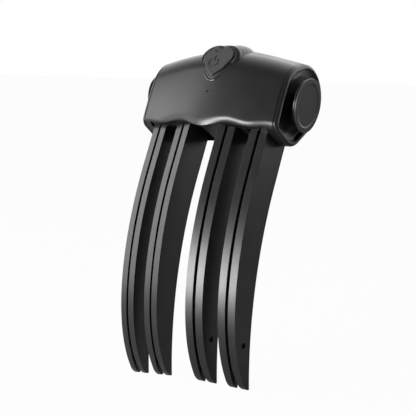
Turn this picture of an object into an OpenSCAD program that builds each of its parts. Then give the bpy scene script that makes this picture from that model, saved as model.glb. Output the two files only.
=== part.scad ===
// Cordless volumizing hair iron: a palm-sized head that carries four curved fingers.
// Each finger is a pair of thin heated blades. The outer blade of a pair is fixed to the head and
// the inner one slides, so that squeezing the two end buttons opens the slots for a lock of hair.
// Millimetres. Lengths inside the head frame: X along the head, Y to its back, Z up, with Z = 0 where
// the fingers start to bend and Y = 0 at the front of the inner fingers. The whole part then leans
// back so that it stands on its finger tips, with the origin under the middle of its bounding box.

/* [Stance] */
// Backward lean of the head when the fingers stand on their tips, in degrees
lean = 28; // [20:1:34]

/* [Head] */
// Middle of the head to the rim at either end
head_half = 38.2; // [37.6:0.1:42]
// Front to back size of the head at its ends
head_depth = 36.6; // [35:0.1:42]
// Bottom to top size of the head at its ends
head_height = 43.1; // [42:0.1:48]
// Height of the underside of the head above the bend of the fingers
head_base = 19.1; // [15:0.1:26]
// Front of the head at its ends behind the front of the inner fingers
head_front = 0.8; // [0.4:0.1:1.2]
// How far the middle of the head bows forward of its ends
bow = 6; // [4:0.1:7]
// How much higher the ridge is in the middle than at the ends
ridge_rise = 4.5; // [2:0.1:6]
// Radius of the brow, the front upper corner of the head
brow_r = 16.8; // [14:0.1:17.5]
// Height of the crown above the brow
brow_drop = 2.9; // [1:0.1:4]
// Radius of the crown, the back upper corner of the head
crown_r = 16; // [13:0.1:17]
// Radius of the chin, the front lower edge of the head
chin_r = 1.4; // [1:0.1:2]
// Radius of the chin at the ends of the head
chin_end_r = 4.5; // [2:0.1:5]
// Height of the chin above the underside in the middle of the head
chin_rise = 0.7; // [0.6:0.1:1.6]
// How much higher the chin is at the outer fingers than in the middle
chin_arch = 1.6; // [0.8:0.1:2.2]
// Radius of the heel, the back lower corner of the head
heel_r = 12.4; // [11:0.1:13]
// Distance from the front of the head back to the middle of the heel
heel_back = 14.1; // [13:0.1:15]
// How far the middle of the heel bows forward of its ends
heel_bow = 2; // [0:0.1:3]
// Half height of the waves along the lower front edge
chin_wave = 1.1; // [0.4:0.1:1.6]
// Wall of the two head shells
wall = 1.8; // [1.4:0.1:1.9]
// Distance of the seam between the shells behind the front of the inner fingers
seam_y = 14; // [13:0.1:15]

/* [Fingers] */
// Middle of an outer finger to the rim at its end of the head
end_step = 10.2; // [10:0.05:10.6]
// Distance between the middles of the two fingers on one side
finger_step = 15.75; // [15.4:0.05:16.2]
// Width of a finger, both blades and their slot
pair_w = 8.5; // [7.6:0.1:9]
// Slot between the two blades of a finger when it is closed
slot_w = 1.2; // [0.8:0.1:1.6]
// Angle of the front faces of the fingers across the head, in degrees
fan = 13; // [8:0.5:15]
// Front to back size of a finger where it leaves the head
finger_depth = 18.3; // [17:0.1:18.8]
// Height of the bent part of a finger, down to where its tip is rounded
finger_drop = 92.4; // [80:0.2:105]
// How far the front edge of a finger sweeps back over its bent part
front_sweep = 36.1; // [30:0.1:40]
// Depth of a finger where its tip is rounded
tip_depth = 5.7; // [4:0.1:7]
// Length of the rounded tip
tip_round = 1.7; // [1:0.1:2.5]
// Length of the tapered mouth of the slot at the tips
mouth_len = 17; // [10:0.5:22]
// How much each blade gives way at its tip to form the mouth
mouth_cut = 1.2; // [0.6:0.1:1.6]
// Width of the latch window near the tips of the outer blades, front to back
latch_w = 4; // [3:0.1:4.6]
// Height of the latch window
latch_h = 2.3; // [1.6:0.1:3]
// Depth of the strip along the back edge of each blade
strip_depth = 1; // [0.8:0.1:1.6]
// Thickness of the heated plate that lines the slot
plate_t = 0.8; // [0.6:0.1:1]
// Thickness of the heater film behind each plate
film_t = 0.25; // [0.2:0.05:0.4]
// Distance of the plate from the front and back edges of its blade
plate_inset = 2; // [1.6:0.1:3]

/* [End buttons] */
// Radius of the pressed face of an end button
face_r = 13.1; // [12:0.1:13.4]
// How far the face of an end button stands out of the rim
face_out = 3.6; // [3.4:0.1:4.8]
// Distance of the button axis behind the front of the inner fingers
button_y = 18.6; // [18:0.1:19.5]
// Height of the button axis above the middle of the end of the head
button_rise = 0.35; // [-0.6:0.05:1.3]
// Angle by which the end buttons turn to the back, in degrees
button_yaw = 4.6; // [0:0.1:6]
// Angle by which the end buttons tip downwards, in degrees
button_dip = 5.3; // [0:0.1:6]
// Travel of an end button
squeeze = 3; // [1.5:0.1:3]
// Thickness of the cap of an end button
cap_t = 0.6; // [0.5:0.1:0.8]
// Width of the groove between the cap and the flange
groove_t = 0.6; // [0.4:0.1:0.7]
// Thickness of the flange behind the cap
flange_t = 1; // [0.8:0.1:1.1]
// Radius of the neck that guides an end button
neck_r = 6; // [5:0.1:6.4]

/* [Slides] */
// Radius of the two guide rods
rod_r = 1.5; // [1.2:0.05:1.8]
// Height of the guide rods above the underside of the head
rod_rise = 7.1; // [6.8:0.1:7.6]
// Distance of the front rod behind the front of the inner fingers
rod_front = 7.2; // [6.8:0.1:7.6]
// Distance between the two rods
rod_gap = 6.4; // [6:0.1:6.6]
// Thickness of the bridge that joins the sliding blades of one side
bridge_t = 2.6; // [2:0.1:3]
// Wire radius of the return springs
wire_r = 0.25; // [0.2:0.05:0.3]
// Turns of a return spring
spring_turns = 4; // [3:1:4]

/* [Power button] */
// Width of the heart-shaped power button
heart_w = 15.7; // [14:0.1:17]
// Middle of the heart below the top of the ends of the head
heart_drop = 9.8; // [8.4:0.1:11]
// Face of the heart in front of the inner fingers
heart_y = 5.1; // [4.9:0.1:6]
// Angle by which the heart faces upwards, in degrees
heart_tilt = 12; // [6:0.5:16]
// Travel of the power button
press = 0.6; // [0.3:0.1:0.8]
// Depth of the engraved power mark
mark_depth = 0.3; // [0.2:0.05:0.5]

/* [Inside] */
// Radius of the battery cell
cell_r = 9.2; // [8:0.1:9.3]
// Room for a screw between either end of the battery and the rim
cell_end = 13.5; // [13.4:0.1:18]
// Radius of the status light
light_r = 0.5; // [0.4:0.05:0.8]

/* [Clearances] */
// Gap between pieces that slide on each other
slide_gap = 0.06; // [0.04:0.01:0.1]
// Gap between pieces that are fitted together
fit_gap = 0.2; // [0.15:0.01:0.3]
// Gap around pieces that move freely
free_gap = 0.4; // [0.3:0.05:0.5]

/* [Hidden] */

$fn = 48;
ring_steps = 48; // points round a section of the head
station_step = 2.6; // distance between sections along the head
edge_steps = 22; // pieces along a bent finger edge
far = 120; // longer than anything that a cut has to clear
bite = 0.1; // how deep pieces of one solid reach into each other
over = 1; // how far a cut reaches out of the face that it opens

shell_col = "#2b2b2e";
inner_col = "#161617";
blade_col = "#4a4a4d";
button_col = "#38383b";
steel_col = "#b9bcc0";
board_col = "#1f5c3a";
cell_col = "#3f6f9a";
film_col = "#b5651d";

// Head
head_top = head_base + head_height;
end_back = head_front + head_depth;
bow_power = 1.6; // how flat the bow of the head is in the middle
rise_power = 1.5; // how flat the ridge is in the middle
head_mid = head_base + head_height / 2;
least_r = 0.4; // smallest corner radius inside the head
seam_gap = 0.1; // each shell stops this far from the seam

// End rings
ring_w = 1.8; // width along the head
ring_round = 1.6; // rounding of the outer edge of the rim
lip_t = 2; // thickness of the lip
lip_round = 0.3; // rounding of its inner edge
ring_x = head_half - ring_w;
shell_half = ring_x - fit_gap;
spigot_len = 2.4; // how far a ring reaches into the shells
spigot_t = 0.8;
spigot_x = ring_x - spigot_len;
spigot_in = wall + fit_gap;

// End buttons, with depths counted from the pressed face
face_x = head_half + face_out;
button_z = head_mid + button_rise;
button_head = cap_t + groove_t + flange_t;
flange_in = 0.6; // the flange and the groove stand in from the pressed face
groove_in = 1.5;
flange_r = face_r - flange_in;
groove_r = face_r - groove_in;
dish_r = 10; // radius of the shallow dish in the pressed face
dish_depth = 0.25;
dish_slope = 0.5; // half width of the slope round the dish
button_edge = 0.2; // bevel of the edges of an end button
floor_top = button_head + squeeze + fit_gap; // floor of the cavity
floor_t = 1.2;
flange_gap = 0.3;
cap_gap = 0.25;
floor_r = flange_r + flange_gap;
step_r = face_r + cap_gap; // the bowl steps in below the lowest place of the cap
step_depth = cap_t + squeeze + fit_gap;
disc_w = 5.6; // plate in the floor that holds the bore
disc_r = neck_r + disc_w;
disc_hold = 0.6; // how far the floor reaches over its edge
clip_t = 0.8;
clip_w = 1.6;
clip_r = neck_r + clip_w;
clip_open = 0.7; // half width of its mouth, as a share of the neck
clip_bite = 0.6; // depth of the groove that the clip sits in
clip_top = floor_top + floor_t + fit_gap;
neck_rest = 0.8; // length of the neck behind the clip
neck_end = clip_top + clip_t + neck_rest;
nose_r = 3;
nose_tip_r = 1.2;
nose_taper = 1; // length over which the nose narrows

// Fingers
outer_x = head_half - end_step;
inner_x = outer_x - finger_step;
blade_t = (pair_w - slot_w) / 2;
blade_top = head_base + wall - bite; // the front of a blade stops here, behind the chin
heel_rise = 5.9; // its back reaches up this far, behind the curve of the heel
heel_top = head_base + heel_rise;
heel_from = 6; // where that step is, behind the front edge
root_ease = 0.43; // share of the drop over which a finger leaves its root straight
front_ease = 0.31; // the same for the front edge at the tip
back_ease = 0.253; // and for the back edge
front_tip_angle = 31; // slope of the front edge at the tip
back_tip_angle = 60.9; // slope of the back edge at the tip
back_sweep = front_sweep + tip_depth - finger_depth;
strip_gap = fit_gap / 2;
plate_gap = 0.05; // slack of a heater film in its pocket
plate_first = 1; // the plates start and end at these pieces of the edge
plate_last = 18;
mouth_from = 0.8; // share of the mouth at which its middle line is taken
window_step = 16.5; // piece of the edge at which a latch window sits
window_depth = 1;
window_reach = 0.05; // how far up and down the edge its slope is measured

// Slides
rod_z = head_base + rod_rise;
rod_back = rod_front + rod_gap;
rod_half = outer_x + pair_w / 2 - fit_gap;
tang_pad = 3; // how far a tang reaches in front of the front rod
tang_heel = 2.6; // and behind the back rod
tang_front = rod_front - tang_pad;
tang_back = rod_back + tang_heel;
tang_cover = 0.9; // material above the rods
tang_top = rod_z + rod_r + tang_cover;
tang_in = 1.5; // how much narrower the head of a sliding tang is, at either edge
tang_grip = 2; // how far it reaches into its bridge
bridge_z = tang_top + free_gap;
bridge_top = bridge_z + bridge_t;
rib_t = 1.6; // thickness of the chassis plate and of its side ribs
plate_rise = 0.7; // the chassis plate above the inside of the head
plate_z = head_base + wall + plate_rise;
plate_back = finger_depth - fit_gap;
rib_cut = 3.2; // the lower back corner of a rib is cut off along the curve of the heel
opening_back = finger_depth + fit_gap; // back of the opening under the head between the fingers
opening_spare = 1.5;
opening_top = heel_top + opening_spare;
rib_x = inner_x + pair_w / 2 + fit_gap;
centre_rib = 2; // half thickness of the middle rib
arm_t = 2;
arm_in = 0.85;
arm_x = outer_x + pair_w / 2 - arm_in; // outer face of the arm that an end button pushes
arm_r = 6.8;
stem_w = 9;
nose_end = (face_x - arm_x - fit_gap) / (cos(button_yaw) * cos(button_dip));

// Power button, in its own frame: X across, Y up the face, Z out of the face
heart_z = head_top - heart_drop;
lobe_r = 4.9;
lobe_y = 3.1;
point_r = 1.5;
point_y = -6.8;
cheek = [1.2, -0.9, 4.7];
heart_t = 1.2;
heart_flange = 1.3;
heart_flange_t = 0.8;
mark_w = 0.7;
mark_r = 2.7;
mark_at = [-1.2, -0.7];
mark_open = 40; // half angle of the gap in the ring of the power mark
mark_bar = 0.8; // where its bar starts above the middle of the ring
bezel_top = heart_t + heart_flange_t + press + fit_gap; // depth of the bezel below the face
bezel_rim = 2.9; // its outline outside the heart at the top
bezel_flare = 0.6; // how much the outline grows further down
bezel_fade = 4; // depth over which it grows
bezel_lift = 7.2; // how far its far end climbs to the ridge
bezel_depth = 12;
bezel_levels = 7; // steps of the bezel over its depth, finer near its top
bezel_ease = 1.5;
bezel_front = 10; // its hole in the front shell reaches this far in front of the power button
bezel_x = 13; // half length of the head that it can reach
skirt_in = 0.8; // the skirt stands in from the outline of the heart
skirt_gap = 0.25;
skirt_len = 1.6;
skirt_end = bezel_top + skirt_len;
board_front = 9.8; // depth of the board
board_t = 1.6;
board_w = 32;
board_top = 3.5;
light_rise = 16.9; // height of the status light above the underside
light_z = head_base + light_rise;
board_rest = 1.5; // how far the board reaches below the light
board_low = (light_z - heart_z + board_front * sin(heart_tilt)) / cos(heart_tilt) - board_rest;
board_hole_x = 12.5;
board_hole_rise = 5.2;
board_hole = [board_hole_x, board_low + board_hole_rise];
board_head_r = 1.7;
board_head_t = 1;
board_screw_r = 0.9;
post_r = 2.2;
post_depth = 4;
switch_w = 6;
switch_h = 3.1;
plunger_r = 1.6;
plunger_out = 1.1; // how far the plunger stands out of the switch
plunger_top = board_front - switch_h - plunger_out;
plunger_len = 1.9;
light_flange = 1; // radius of the light pipe behind the wall
light_end = -heart_y - fit_gap
    + (board_front + (light_z - light_flange - heart_z) * sin(heart_tilt)) / cos(heart_tilt); // at the board

// Battery
cell_y = 16.8;
cell_rise = 8.35; // height of the battery above the middle of the end of the head
cell_z = head_mid + cell_rise;
cell_len = 2 * (head_half - cell_end);
tray_t = 1.2;
tray_r = cell_r + fit_gap;
tab_t = 0.4;
tab_r = 5;
cradle_x = 16.5; // where the ribs of the rear shell carry the battery
cradle_t = 1.5;
cradle_drop = 14.9;
cradle_z = cell_z - cradle_drop;

// Charging port
port_w = 9;
port_h = 3.3;
port_back = 27.2;
port_len = 7.9;
port_front = port_back - port_len;
port_wall = 0.35;
port_gap = 1.05; // between the port and the battery tray
port_z = cell_z - tray_r - tray_t - port_gap - port_h / 2;
port_end = 1; // thickness of the closed back of the port
tongue_t = 0.7;
tongue_w = 6.7;
tongue_in = 1; // the tongue stands back from the mouth of the port
charge_w = 15;
charge_t = 1;
charge_front = 9;
charge_back = port_front - fit_gap;
charge_z = port_z - charge_t / 2; // the board and the port share their middle plane
centre_top = charge_z - fit_gap; // the middle rib carries the charging board

// Shell screws: two beside the battery and a low one in the middle
screw_r = 1.2;
screw_head_r = 2.2;
screw_head_t = 1.4;
screw_key_r = 1; // six-sided recess in the head
screw_key_depth = 0.7;
boss_r = 3.2;
boss_gap = 0.3;
screw_rise = 4; // height of the two screws above the middle of the battery
high_screw = [cell_len / 2 + tab_t + boss_gap + boss_r, cell_z + screw_rise];
high_seat = 18;
high_end = 8;
low_rise = 11;
low_screw_z = head_base + low_rise;
low_seat = 19.4;
low_end = 0.4;

// The point of an outline round circles [y, z, r] that lies furthest in the direction a
function on_hull(circles, a) =
    let (reach = [for (c = circles) c[0] * cos(a) + c[1] * sin(a) + c[2]],
         best = max(reach),
         c = circles[[for (i = [0:len(reach) - 1]) if (reach[i] == best) i][0]])
    [c[0] + c[2] * cos(a), c[1] + c[2] * sin(a)];
function outline(circles) = [for (i = [0:ring_steps - 1]) on_hull(circles, i * 360 / ring_steps)];

// Sections of the head, each round four corners: brow, crown, chin and heel
function bow_at(x) = -bow * (1 - pow(abs(x) / head_half, bow_power));
function back_bow_at(x) = -bow * pow(1 - pow(x / head_half, 2), 2);
function rise_at(x) = ridge_rise * (1 - pow(abs(x) / head_half, rise_power));
function heel_bow_at(x) = back_bow_at(x) * heel_bow / bow;
function chin_r_at(x) = chin_r + (chin_end_r - chin_r) * pow(abs(x) / head_half, 6);
function chin_at(x) = chin_rise + chin_arch * pow(sin(90 * min(1, abs(x) / outer_x)), 2)
    - chin_wave * cos(180 * x / inner_x) * (1 - pow(x / head_half, 4));
function corner(y, z, r, inset) = [y, z, max(least_r, r - inset)];
function head_circles(x, inset) =
    let (b = bow_at(x), back = back_bow_at(x), up = rise_at(x),
         r = chin_r_at(x), in = max(0, inset + least_r - r))
    [corner(head_front + brow_r + b, head_top - brow_drop - brow_r + up, brow_r, inset),
     corner(end_back - crown_r + back, head_top - crown_r + up, crown_r, inset),
     corner(head_front + r + b + in, head_base + chin_at(x) + r + in, r, inset),
     corner(head_front + heel_back + heel_bow_at(x), head_base + heel_r, heel_r, inset)];
function head_ring(x, inset) = [for (p = outline(head_circles(x, inset))) [x, p[0], p[1]]];
function stations(from, to) =
    let (n = ceil((to - from) / station_step)) [for (i = [0:n]) from + (to - from) * i / n];

// Triangles between rings of m points, each ring joined to the next one
function ring_sides(n, m, joins) = [for (i = [0:joins - 1], j = [0:m - 1], k = [0:1])
    let (here = i * m, there = ((i + 1) % n) * m, next = (j + 1) % m)
    k == 0 ? [here + j, there + j, there + next] : [here + j, there + next, here + next]];

// A closed body through rings of points, with flat ends
module loft(rings) {
    n = len(rings);
    m = len(rings[0]);
    ends = [[for (j = [0:m - 1]) j], [for (j = [m - 1:-1:0]) (n - 1) * m + j]];
    polyhedron(points = [for (r = rings, p = r) p], faces = concat(ring_sides(n, m, n - 1), ends));
}

// A closed body through rings of points, the last one joined to the first
module loop(rings) {
    n = len(rings);
    m = len(rings[0]);
    polyhedron(points = [for (r = rings, p = r) p], faces = ring_sides(n, m, n));
}

module head_solid(half, inset) {
    loft([for (x = stations(-half, half)) head_ring(x, inset)]);
}

// Stance: the head frame leans back until the part stands on its finger tips
function stand(p) = [p[0], p[1] * cos(lean) + p[2] * sin(lean), p[2] * cos(lean) - p[1] * sin(lean)];
function fan_at(x) = tan(fan) * (x - inner_x);
finger_marks = [for (p = finger_outline(0), x = [inner_x - pair_w / 2, outer_x + pair_w / 2])
    stand([x, p[0] + fan_at(x), p[1]])];
head_marks = [for (x = [head_half - ring_round, 0], p = head_ring(x, 0)) stand(p)];
low_z = min([for (p = finger_marks) p[2]]);
front_y = min([for (p = finger_marks) p[1]]);
back_y = max([for (p = head_marks) p[1]]);
module stance() {
    translate([0, -(front_y + back_y) / 2, -low_z]) rotate([-lean, 0, 0]) children();
}

// Frames of the right end button and of the power button, with Z out of the face
module at_button() {
    translate([face_x, button_y, button_z]) rotate([0, button_dip, button_yaw]) rotate([0, 90, 0]) children();
}
module at_heart() {
    translate([0, -heart_y, heart_z]) rotate([90 - heart_tilt, 0, 0]) children();
}

module on_side(side) {
    if (side > 0) {
        children();
    } else {
        mirror([1, 0, 0]) children();
    }
}
module both_sides() {
    children();
    mirror([1, 0, 0]) children();
}
module along_x(x0, x1, y, z, r) {
    translate([x0, y, z]) rotate([0, 90, 0]) cylinder(h = x1 - x0, r = r);
}
module along_y(x, y0, y1, z, r) {
    translate([x, y0, z]) rotate([-90, 0, 0]) cylinder(h = y1 - y0, r = r);
}
module block(x0, x1, y0, y1, z0, z1) {
    translate([x0, y0, z0]) cube([x1 - x0, y1 - y0, z1 - z0]);
}

// Shells
module shell(from_y, to_y) {
    intersection() {
        difference() {
            head_solid(shell_half, 0);
            difference() {
                head_solid(head_half, wall);
                children();
            }
        }
        block(-far, far, from_y, to_y, -far, far);
    }
}

// A plate shape seen from below, with its front edge at a distance behind the front of the head
module behind_front(half, gap, back) {
    polygon(concat([for (x = stations(-half, half)) [x, head_front + bow_at(x) + gap]],
                   [[half, back], [-half, back]]));
}

// Opening under the head behind the chin, with room for the sliding blades
module finger_opening() {
    linear_extrude(opening_top) behind_front(outer_x + pair_w / 2 + free_gap, wall, opening_back);
    both_sides() for (x = [inner_x, outer_x]) {
        block(x - pair_w / 2 - squeeze - free_gap, x + pair_w / 2 + free_gap,
              heel_from, finger_depth + fan_at(x + pair_w / 2) + free_gap, 0, opening_top);
    }
}
module screw_bores(y0, y1, r) {
    both_sides() along_y(high_screw[0], y0, y1, high_screw[1], r);
}

module front_shell() {
    color(shell_col) stance() difference() {
        shell(-far, seam_y - seam_gap) {
            screw_bores(-far, far, boss_r);
            along_y(0, -far, tang_front - fit_gap, low_screw_z, boss_r);
            at_heart() both_sides() board_hole_at(-board_front, far, post_r);
        }
        finger_opening();
        at_heart() loft(concat(bezel_rings(strip_gap),
            [[for (p = bezel_ring(0, strip_gap)) [p[0], p[1], bezel_front]]]));
        along_y(0, -far, far, light_z, light_r + strip_gap);
        screw_bores(high_end - fit_gap, far, screw_r + slide_gap);
        along_y(0, low_end - fit_gap, far, low_screw_z, screw_r + slide_gap);
        at_heart() both_sides()
            board_hole_at(-board_front, post_depth - board_front, board_screw_r + slide_gap);
    }
}

module rear_shell() {
    color(shell_col) stance() difference() {
        shell(seam_y + seam_gap, far) {
            screw_bores(-far, far, boss_r);
            along_y(0, tang_back + fit_gap, far, low_screw_z, boss_r);
            both_sides() difference() {
                block(cradle_x, cradle_x + cradle_t, seam_y, far, cradle_z, far);
                along_x(0, far, cell_y, cell_z, tray_r + tray_t + fit_gap);
            }
        }
        finger_opening();
        screw_bores(0, far, screw_r + fit_gap);
        screw_bores(high_seat, far, screw_head_r + fit_gap);
        along_y(0, 0, far, low_screw_z, screw_r + fit_gap);
        along_y(0, low_seat, far, low_screw_z, screw_head_r + fit_gap);
        translate([0, 0, port_z]) rotate([-90, 0, 0]) linear_extrude(far) port_outline(port_wall + fit_gap);
    }
}

// End rings: spigot, rim, and the bowl down to the floor under the end button
function button_point(r, a, depth) =
    [face_x, button_y, button_z]
    - depth * [cos(button_yaw) * cos(button_dip), sin(button_yaw) * cos(button_dip), -sin(button_dip)]
    + r * cos(a) * [-sin(button_yaw), cos(button_yaw), 0]
    + r * sin(a) * [cos(button_yaw) * sin(button_dip), sin(button_yaw) * sin(button_dip), cos(button_dip)];
function button_ring(r, depth) = [for (i = [0:ring_steps - 1]) button_point(r, i * 360 / ring_steps, depth)];
// A ring of the head moved along X onto the plane at a depth below the face of the button
function on_plane(ring, depth) = [for (p = ring)
    [face_x - (depth + sin(button_yaw) * cos(button_dip) * (p[1] - button_y)
        - sin(button_dip) * (p[2] - button_z)) / (cos(button_yaw) * cos(button_dip)), p[1], p[2]]];
function blend(a, b, t) = [for (i = [0:len(a) - 1]) a[i] * (1 - t) + b[i] * t];
function end_ring_rings() =
    let (mouth = head_ring(head_half - lip_round, lip_t),
         rim = head_ring(ring_x + (ring_w - ring_round) / 2, 0),
         step = button_ring(step_r, step_depth),
         under = spigot_in + spigot_t)
    concat(
        [head_ring(spigot_x, spigot_in), head_ring(ring_x, spigot_in), head_ring(ring_x, 0), rim],
        [for (a = [0:22.5:90]) head_ring(head_half - ring_round * (1 - sin(a)), ring_round * (1 - cos(a)))],
        [head_ring(head_half, lip_t - lip_round), mouth, blend(mouth, step, 0.5), step],
        [button_ring(floor_r, step_depth + bite), button_ring(floor_r, floor_top)],
        [button_ring(disc_r - disc_hold, floor_top), button_ring(disc_r - disc_hold, floor_top + floor_t)],
        [on_plane(head_ring(spigot_x, under), floor_top + floor_t), head_ring(spigot_x, under)]);
module end_ring(side) {
    color(shell_col) stance() on_side(side) difference() {
        union() {
            loop(end_ring_rings());
            at_button() translate([0, 0, bite - floor_top - floor_t])
                cylinder(h = floor_t - 2 * bite, r = disc_r);
        }
        at_button() translate([0, 0, -far]) cylinder(h = far, r = neck_r + slide_gap);
    }
}
module end_ring_left() { end_ring(-1); }
module end_ring_right() { end_ring(1); }

// End buttons: a flanged plunger, the cap on its face and the clip behind the floor
module end_button(side) {
    e = button_edge;
    flange_z = -cap_t - groove_t;
    color(button_col) stance() on_side(side) at_button() rotate_extrude() polygon([
        [0, -cap_t], [groove_r, -cap_t], [groove_r, flange_z], [flange_r - e, flange_z],
        [flange_r, flange_z - e], [flange_r, -button_head + e], [flange_r - e, -button_head],
        [neck_r, -button_head], [neck_r, -clip_top], [neck_r - clip_bite, -clip_top],
        [neck_r - clip_bite, -clip_top - clip_t], [neck_r, -clip_top - clip_t], [neck_r, -neck_end],
        [nose_r, -neck_end], [nose_r, -nose_end + nose_taper], [nose_tip_r, -nose_end], [0, -nose_end]]);
}
module end_cap(side) {
    e = button_edge;
    color(button_col) stance() on_side(side) at_button() rotate_extrude() polygon([
        [0, -cap_t], [face_r - e / 2, -cap_t], [face_r, -cap_t + e / 2], [face_r, -e], [face_r - e, 0],
        [dish_r + dish_slope, 0], [dish_r - dish_slope, -dish_depth], [0, -dish_depth]]);
}
module end_clip(side) {
    opening = 2 * clip_open * neck_r;
    color(steel_col) stance() on_side(side) at_button()
        translate([0, 0, -clip_top - clip_t + slide_gap]) difference() {
            cylinder(h = clip_t - 2 * slide_gap, r = clip_r);
            cylinder(h = far, r = neck_r - clip_bite + slide_gap, center = true);
            translate([0, -opening / 2, -far / 2]) cube([far, opening, far]);
        }
}
module button_left() { end_button(-1); }
module button_right() { end_button(1); }
module cap_left() { end_cap(-1); }
module cap_right() { end_cap(1); }
module clip_left() { end_clip(-1); }
module clip_right() { end_clip(1); }

// Power button: the outline of a heart with rounded lobes, moved outwards by grow
lobe_x = heart_w / 2 - lobe_r;
function heart_half(side, grow) =
    [[side * lobe_x, lobe_y, lobe_r + grow], [side * cheek[0], cheek[1], cheek[2] + grow],
     [0, point_y, point_r + grow]];
module heart(grow) {
    for (side = [-1, 1]) polygon(outline(heart_half(side, grow)));
}
module slab(from, to) {
    translate([0, 0, -to]) linear_extrude(to - from) children();
}
module power_mark() {
    translate(mark_at) difference() {
        circle(mark_r);
        circle(mark_r - mark_w);
        polygon([[0, 0], [-far * sin(mark_open), far * cos(mark_open)],
                 [far * sin(mark_open), far * cos(mark_open)]]);
    }
    translate(mark_at + [-mark_w / 2, mark_bar]) square([mark_w, mark_r]);
}
module power_button() {
    color(button_col) stance() at_heart() difference() {
        union() {
            slab(0, heart_t) heart(0);
            slab(heart_t, heart_t + heart_flange_t) heart(heart_flange);
            slab(heart_t + heart_flange_t, skirt_end) heart(-skirt_in);
            slab(skirt_end, plunger_top) circle(plunger_r);
        }
        translate([0, 0, -mark_depth]) linear_extrude(over) power_mark();
    }
}

// Bezel: a boss around the power button that climbs back into the ridge
function bezel_ring(d, grow) =
    let (rim = bezel_rim + bezel_flare * sqrt(min(1, d / bezel_fade)) + grow,
         lift = bezel_lift * sin(90 * min(1, d / bezel_depth)),
         circles = [for (side = [-1, 1], c = heart_half(side, rim)) [c[0], c[1] + lift, c[2]]])
    [for (p = outline(circles)) [p[0], p[1], -bezel_top - d]];
function bezel_rings(grow) = [for (i = [bezel_levels:-1:0])
    bezel_ring(bezel_depth * pow(i / bezel_levels, bezel_ease), grow)];
module button_bezel() {
    color(shell_col) stance() difference() {
        at_heart() loft(bezel_rings(0));
        head_solid(bezel_x, wall);
        at_heart() slab(0, far) heart(skirt_gap - skirt_in);
    }
}

// Board behind the power button, with its switch and status light
module board_hole_at(z0, z1, r) {
    translate([board_hole[0], board_hole[1], z0]) cylinder(h = z1 - z0, r = r);
}
module circuit_board() {
    color(board_col) stance() at_heart() difference() {
        translate([-board_w / 2, board_low, -board_front - board_t])
            cube([board_w, board_top - board_low, board_t]);
        both_sides() board_hole_at(-far, far, board_screw_r + slide_gap);
    }
}
module board_screws() {
    color(steel_col) stance() at_heart() both_sides() {
        board_hole_at(-board_front - board_t, post_depth - board_front - fit_gap, board_screw_r);
        board_hole_at(-board_front - board_t - board_head_t, -board_front - board_t, board_head_r);
    }
}
module switch_body() {
    color(inner_col) stance() at_heart() difference() {
        translate([-switch_w / 2, -switch_w / 2, -board_front]) cube([switch_w, switch_w, switch_h]);
        translate([0, 0, -plunger_top - plunger_len - press - fit_gap])
            cylinder(h = far, r = plunger_r + slide_gap);
    }
}
module switch_plunger() {
    color(button_col) stance() at_heart() slab(plunger_top, plunger_top + plunger_len) circle(plunger_r);
}
module light_pipe() {
    color("white") stance() {
        along_y(0, light_front() + strip_gap, light_end, light_z, light_r);
        along_y(0, light_front() + wall + fit_gap, light_end, light_z, light_flange);
    }
}
function light_front() = head_front - bow;

// Battery
module battery_cell() {
    color(cell_col) stance() along_x(-cell_len / 2, cell_len / 2, cell_y, cell_z, cell_r);
}
module battery_tabs() {
    color(steel_col) stance() both_sides()
        along_x(cell_len / 2, cell_len / 2 + tab_t, cell_y, cell_z, tab_r);
}
module battery_tray() {
    color(inner_col) stance() difference() {
        along_x(-cell_len / 2, cell_len / 2, cell_y, cell_z, tray_r + tray_t);
        along_x(-far, far, cell_y, cell_z, tray_r);
        block(-far, far, -far, far, cell_z, far);
    }
}

// Charging port and its board
module port_outline(grow) {
    r = port_h / 2 + grow;
    for (side = [-1, 1]) translate([side * (port_w - port_h) / 2, 0]) circle(r);
    square([port_w - port_h, 2 * r], center = true);
}
module charge_port() {
    color(steel_col) stance() translate([0, port_back, port_z]) rotate([90, 0, 0]) {
        linear_extrude(port_len) difference() {
            port_outline(0);
            port_outline(-port_wall);
        }
        translate([0, 0, port_len - port_end]) linear_extrude(port_end) port_outline(-port_wall / 2);
        translate([-tongue_w / 2, -tongue_t / 2, tongue_in])
            cube([tongue_w, tongue_t, port_len - tongue_in - port_end / 2]);
    }
}
module charge_board() {
    color(board_col) stance()
        block(-charge_w / 2, charge_w / 2, charge_front, charge_back, charge_z, charge_z + charge_t);
}

// Screws that hold the shells together
module screw(x, z, seat, end) {
    along_y(x, end, seat, z, screw_r);
    difference() {
        along_y(x, seat, seat + screw_head_t, z, screw_head_r);
        translate([x, seat + screw_head_t - screw_key_depth, z]) rotate([-90, 0, 0])
            cylinder(h = over, r = screw_key_r, $fn = 6);
    }
}
module shell_screws() {
    color(steel_col) stance() {
        both_sides() screw(high_screw[0], high_screw[1], high_seat, high_end);
        screw(0, low_screw_z, low_seat, low_end);
    }
}

// Chassis: a plate with three ribs that carry the rods
module chassis() {
    color(inner_col) stance() difference() {
        union() {
            translate([0, 0, plate_z]) linear_extrude(rib_t)
                behind_front(rod_half, wall + fit_gap, plate_back);
            both_sides() rib(rib_x, rib_x + rib_t, tang_top);
            rib(-centre_rib, centre_rib, centre_top);
        }
        both_sides() for (x = [inner_x, outer_x]) {
            block(x - pair_w / 2 - squeeze - free_gap, x + pair_w / 2 + fit_gap,
                  min(tang_front, heel_from + fan_at(x - pair_w / 2)) - fit_gap, far, 0, tang_top);
        }
        for (y = [rod_front, rod_back]) {
            along_x(-far, far, y, rod_z, rod_r + slide_gap / 2);
        }
        along_y(0, 0, far, low_screw_z, screw_r + fit_gap);
    }
}
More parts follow.
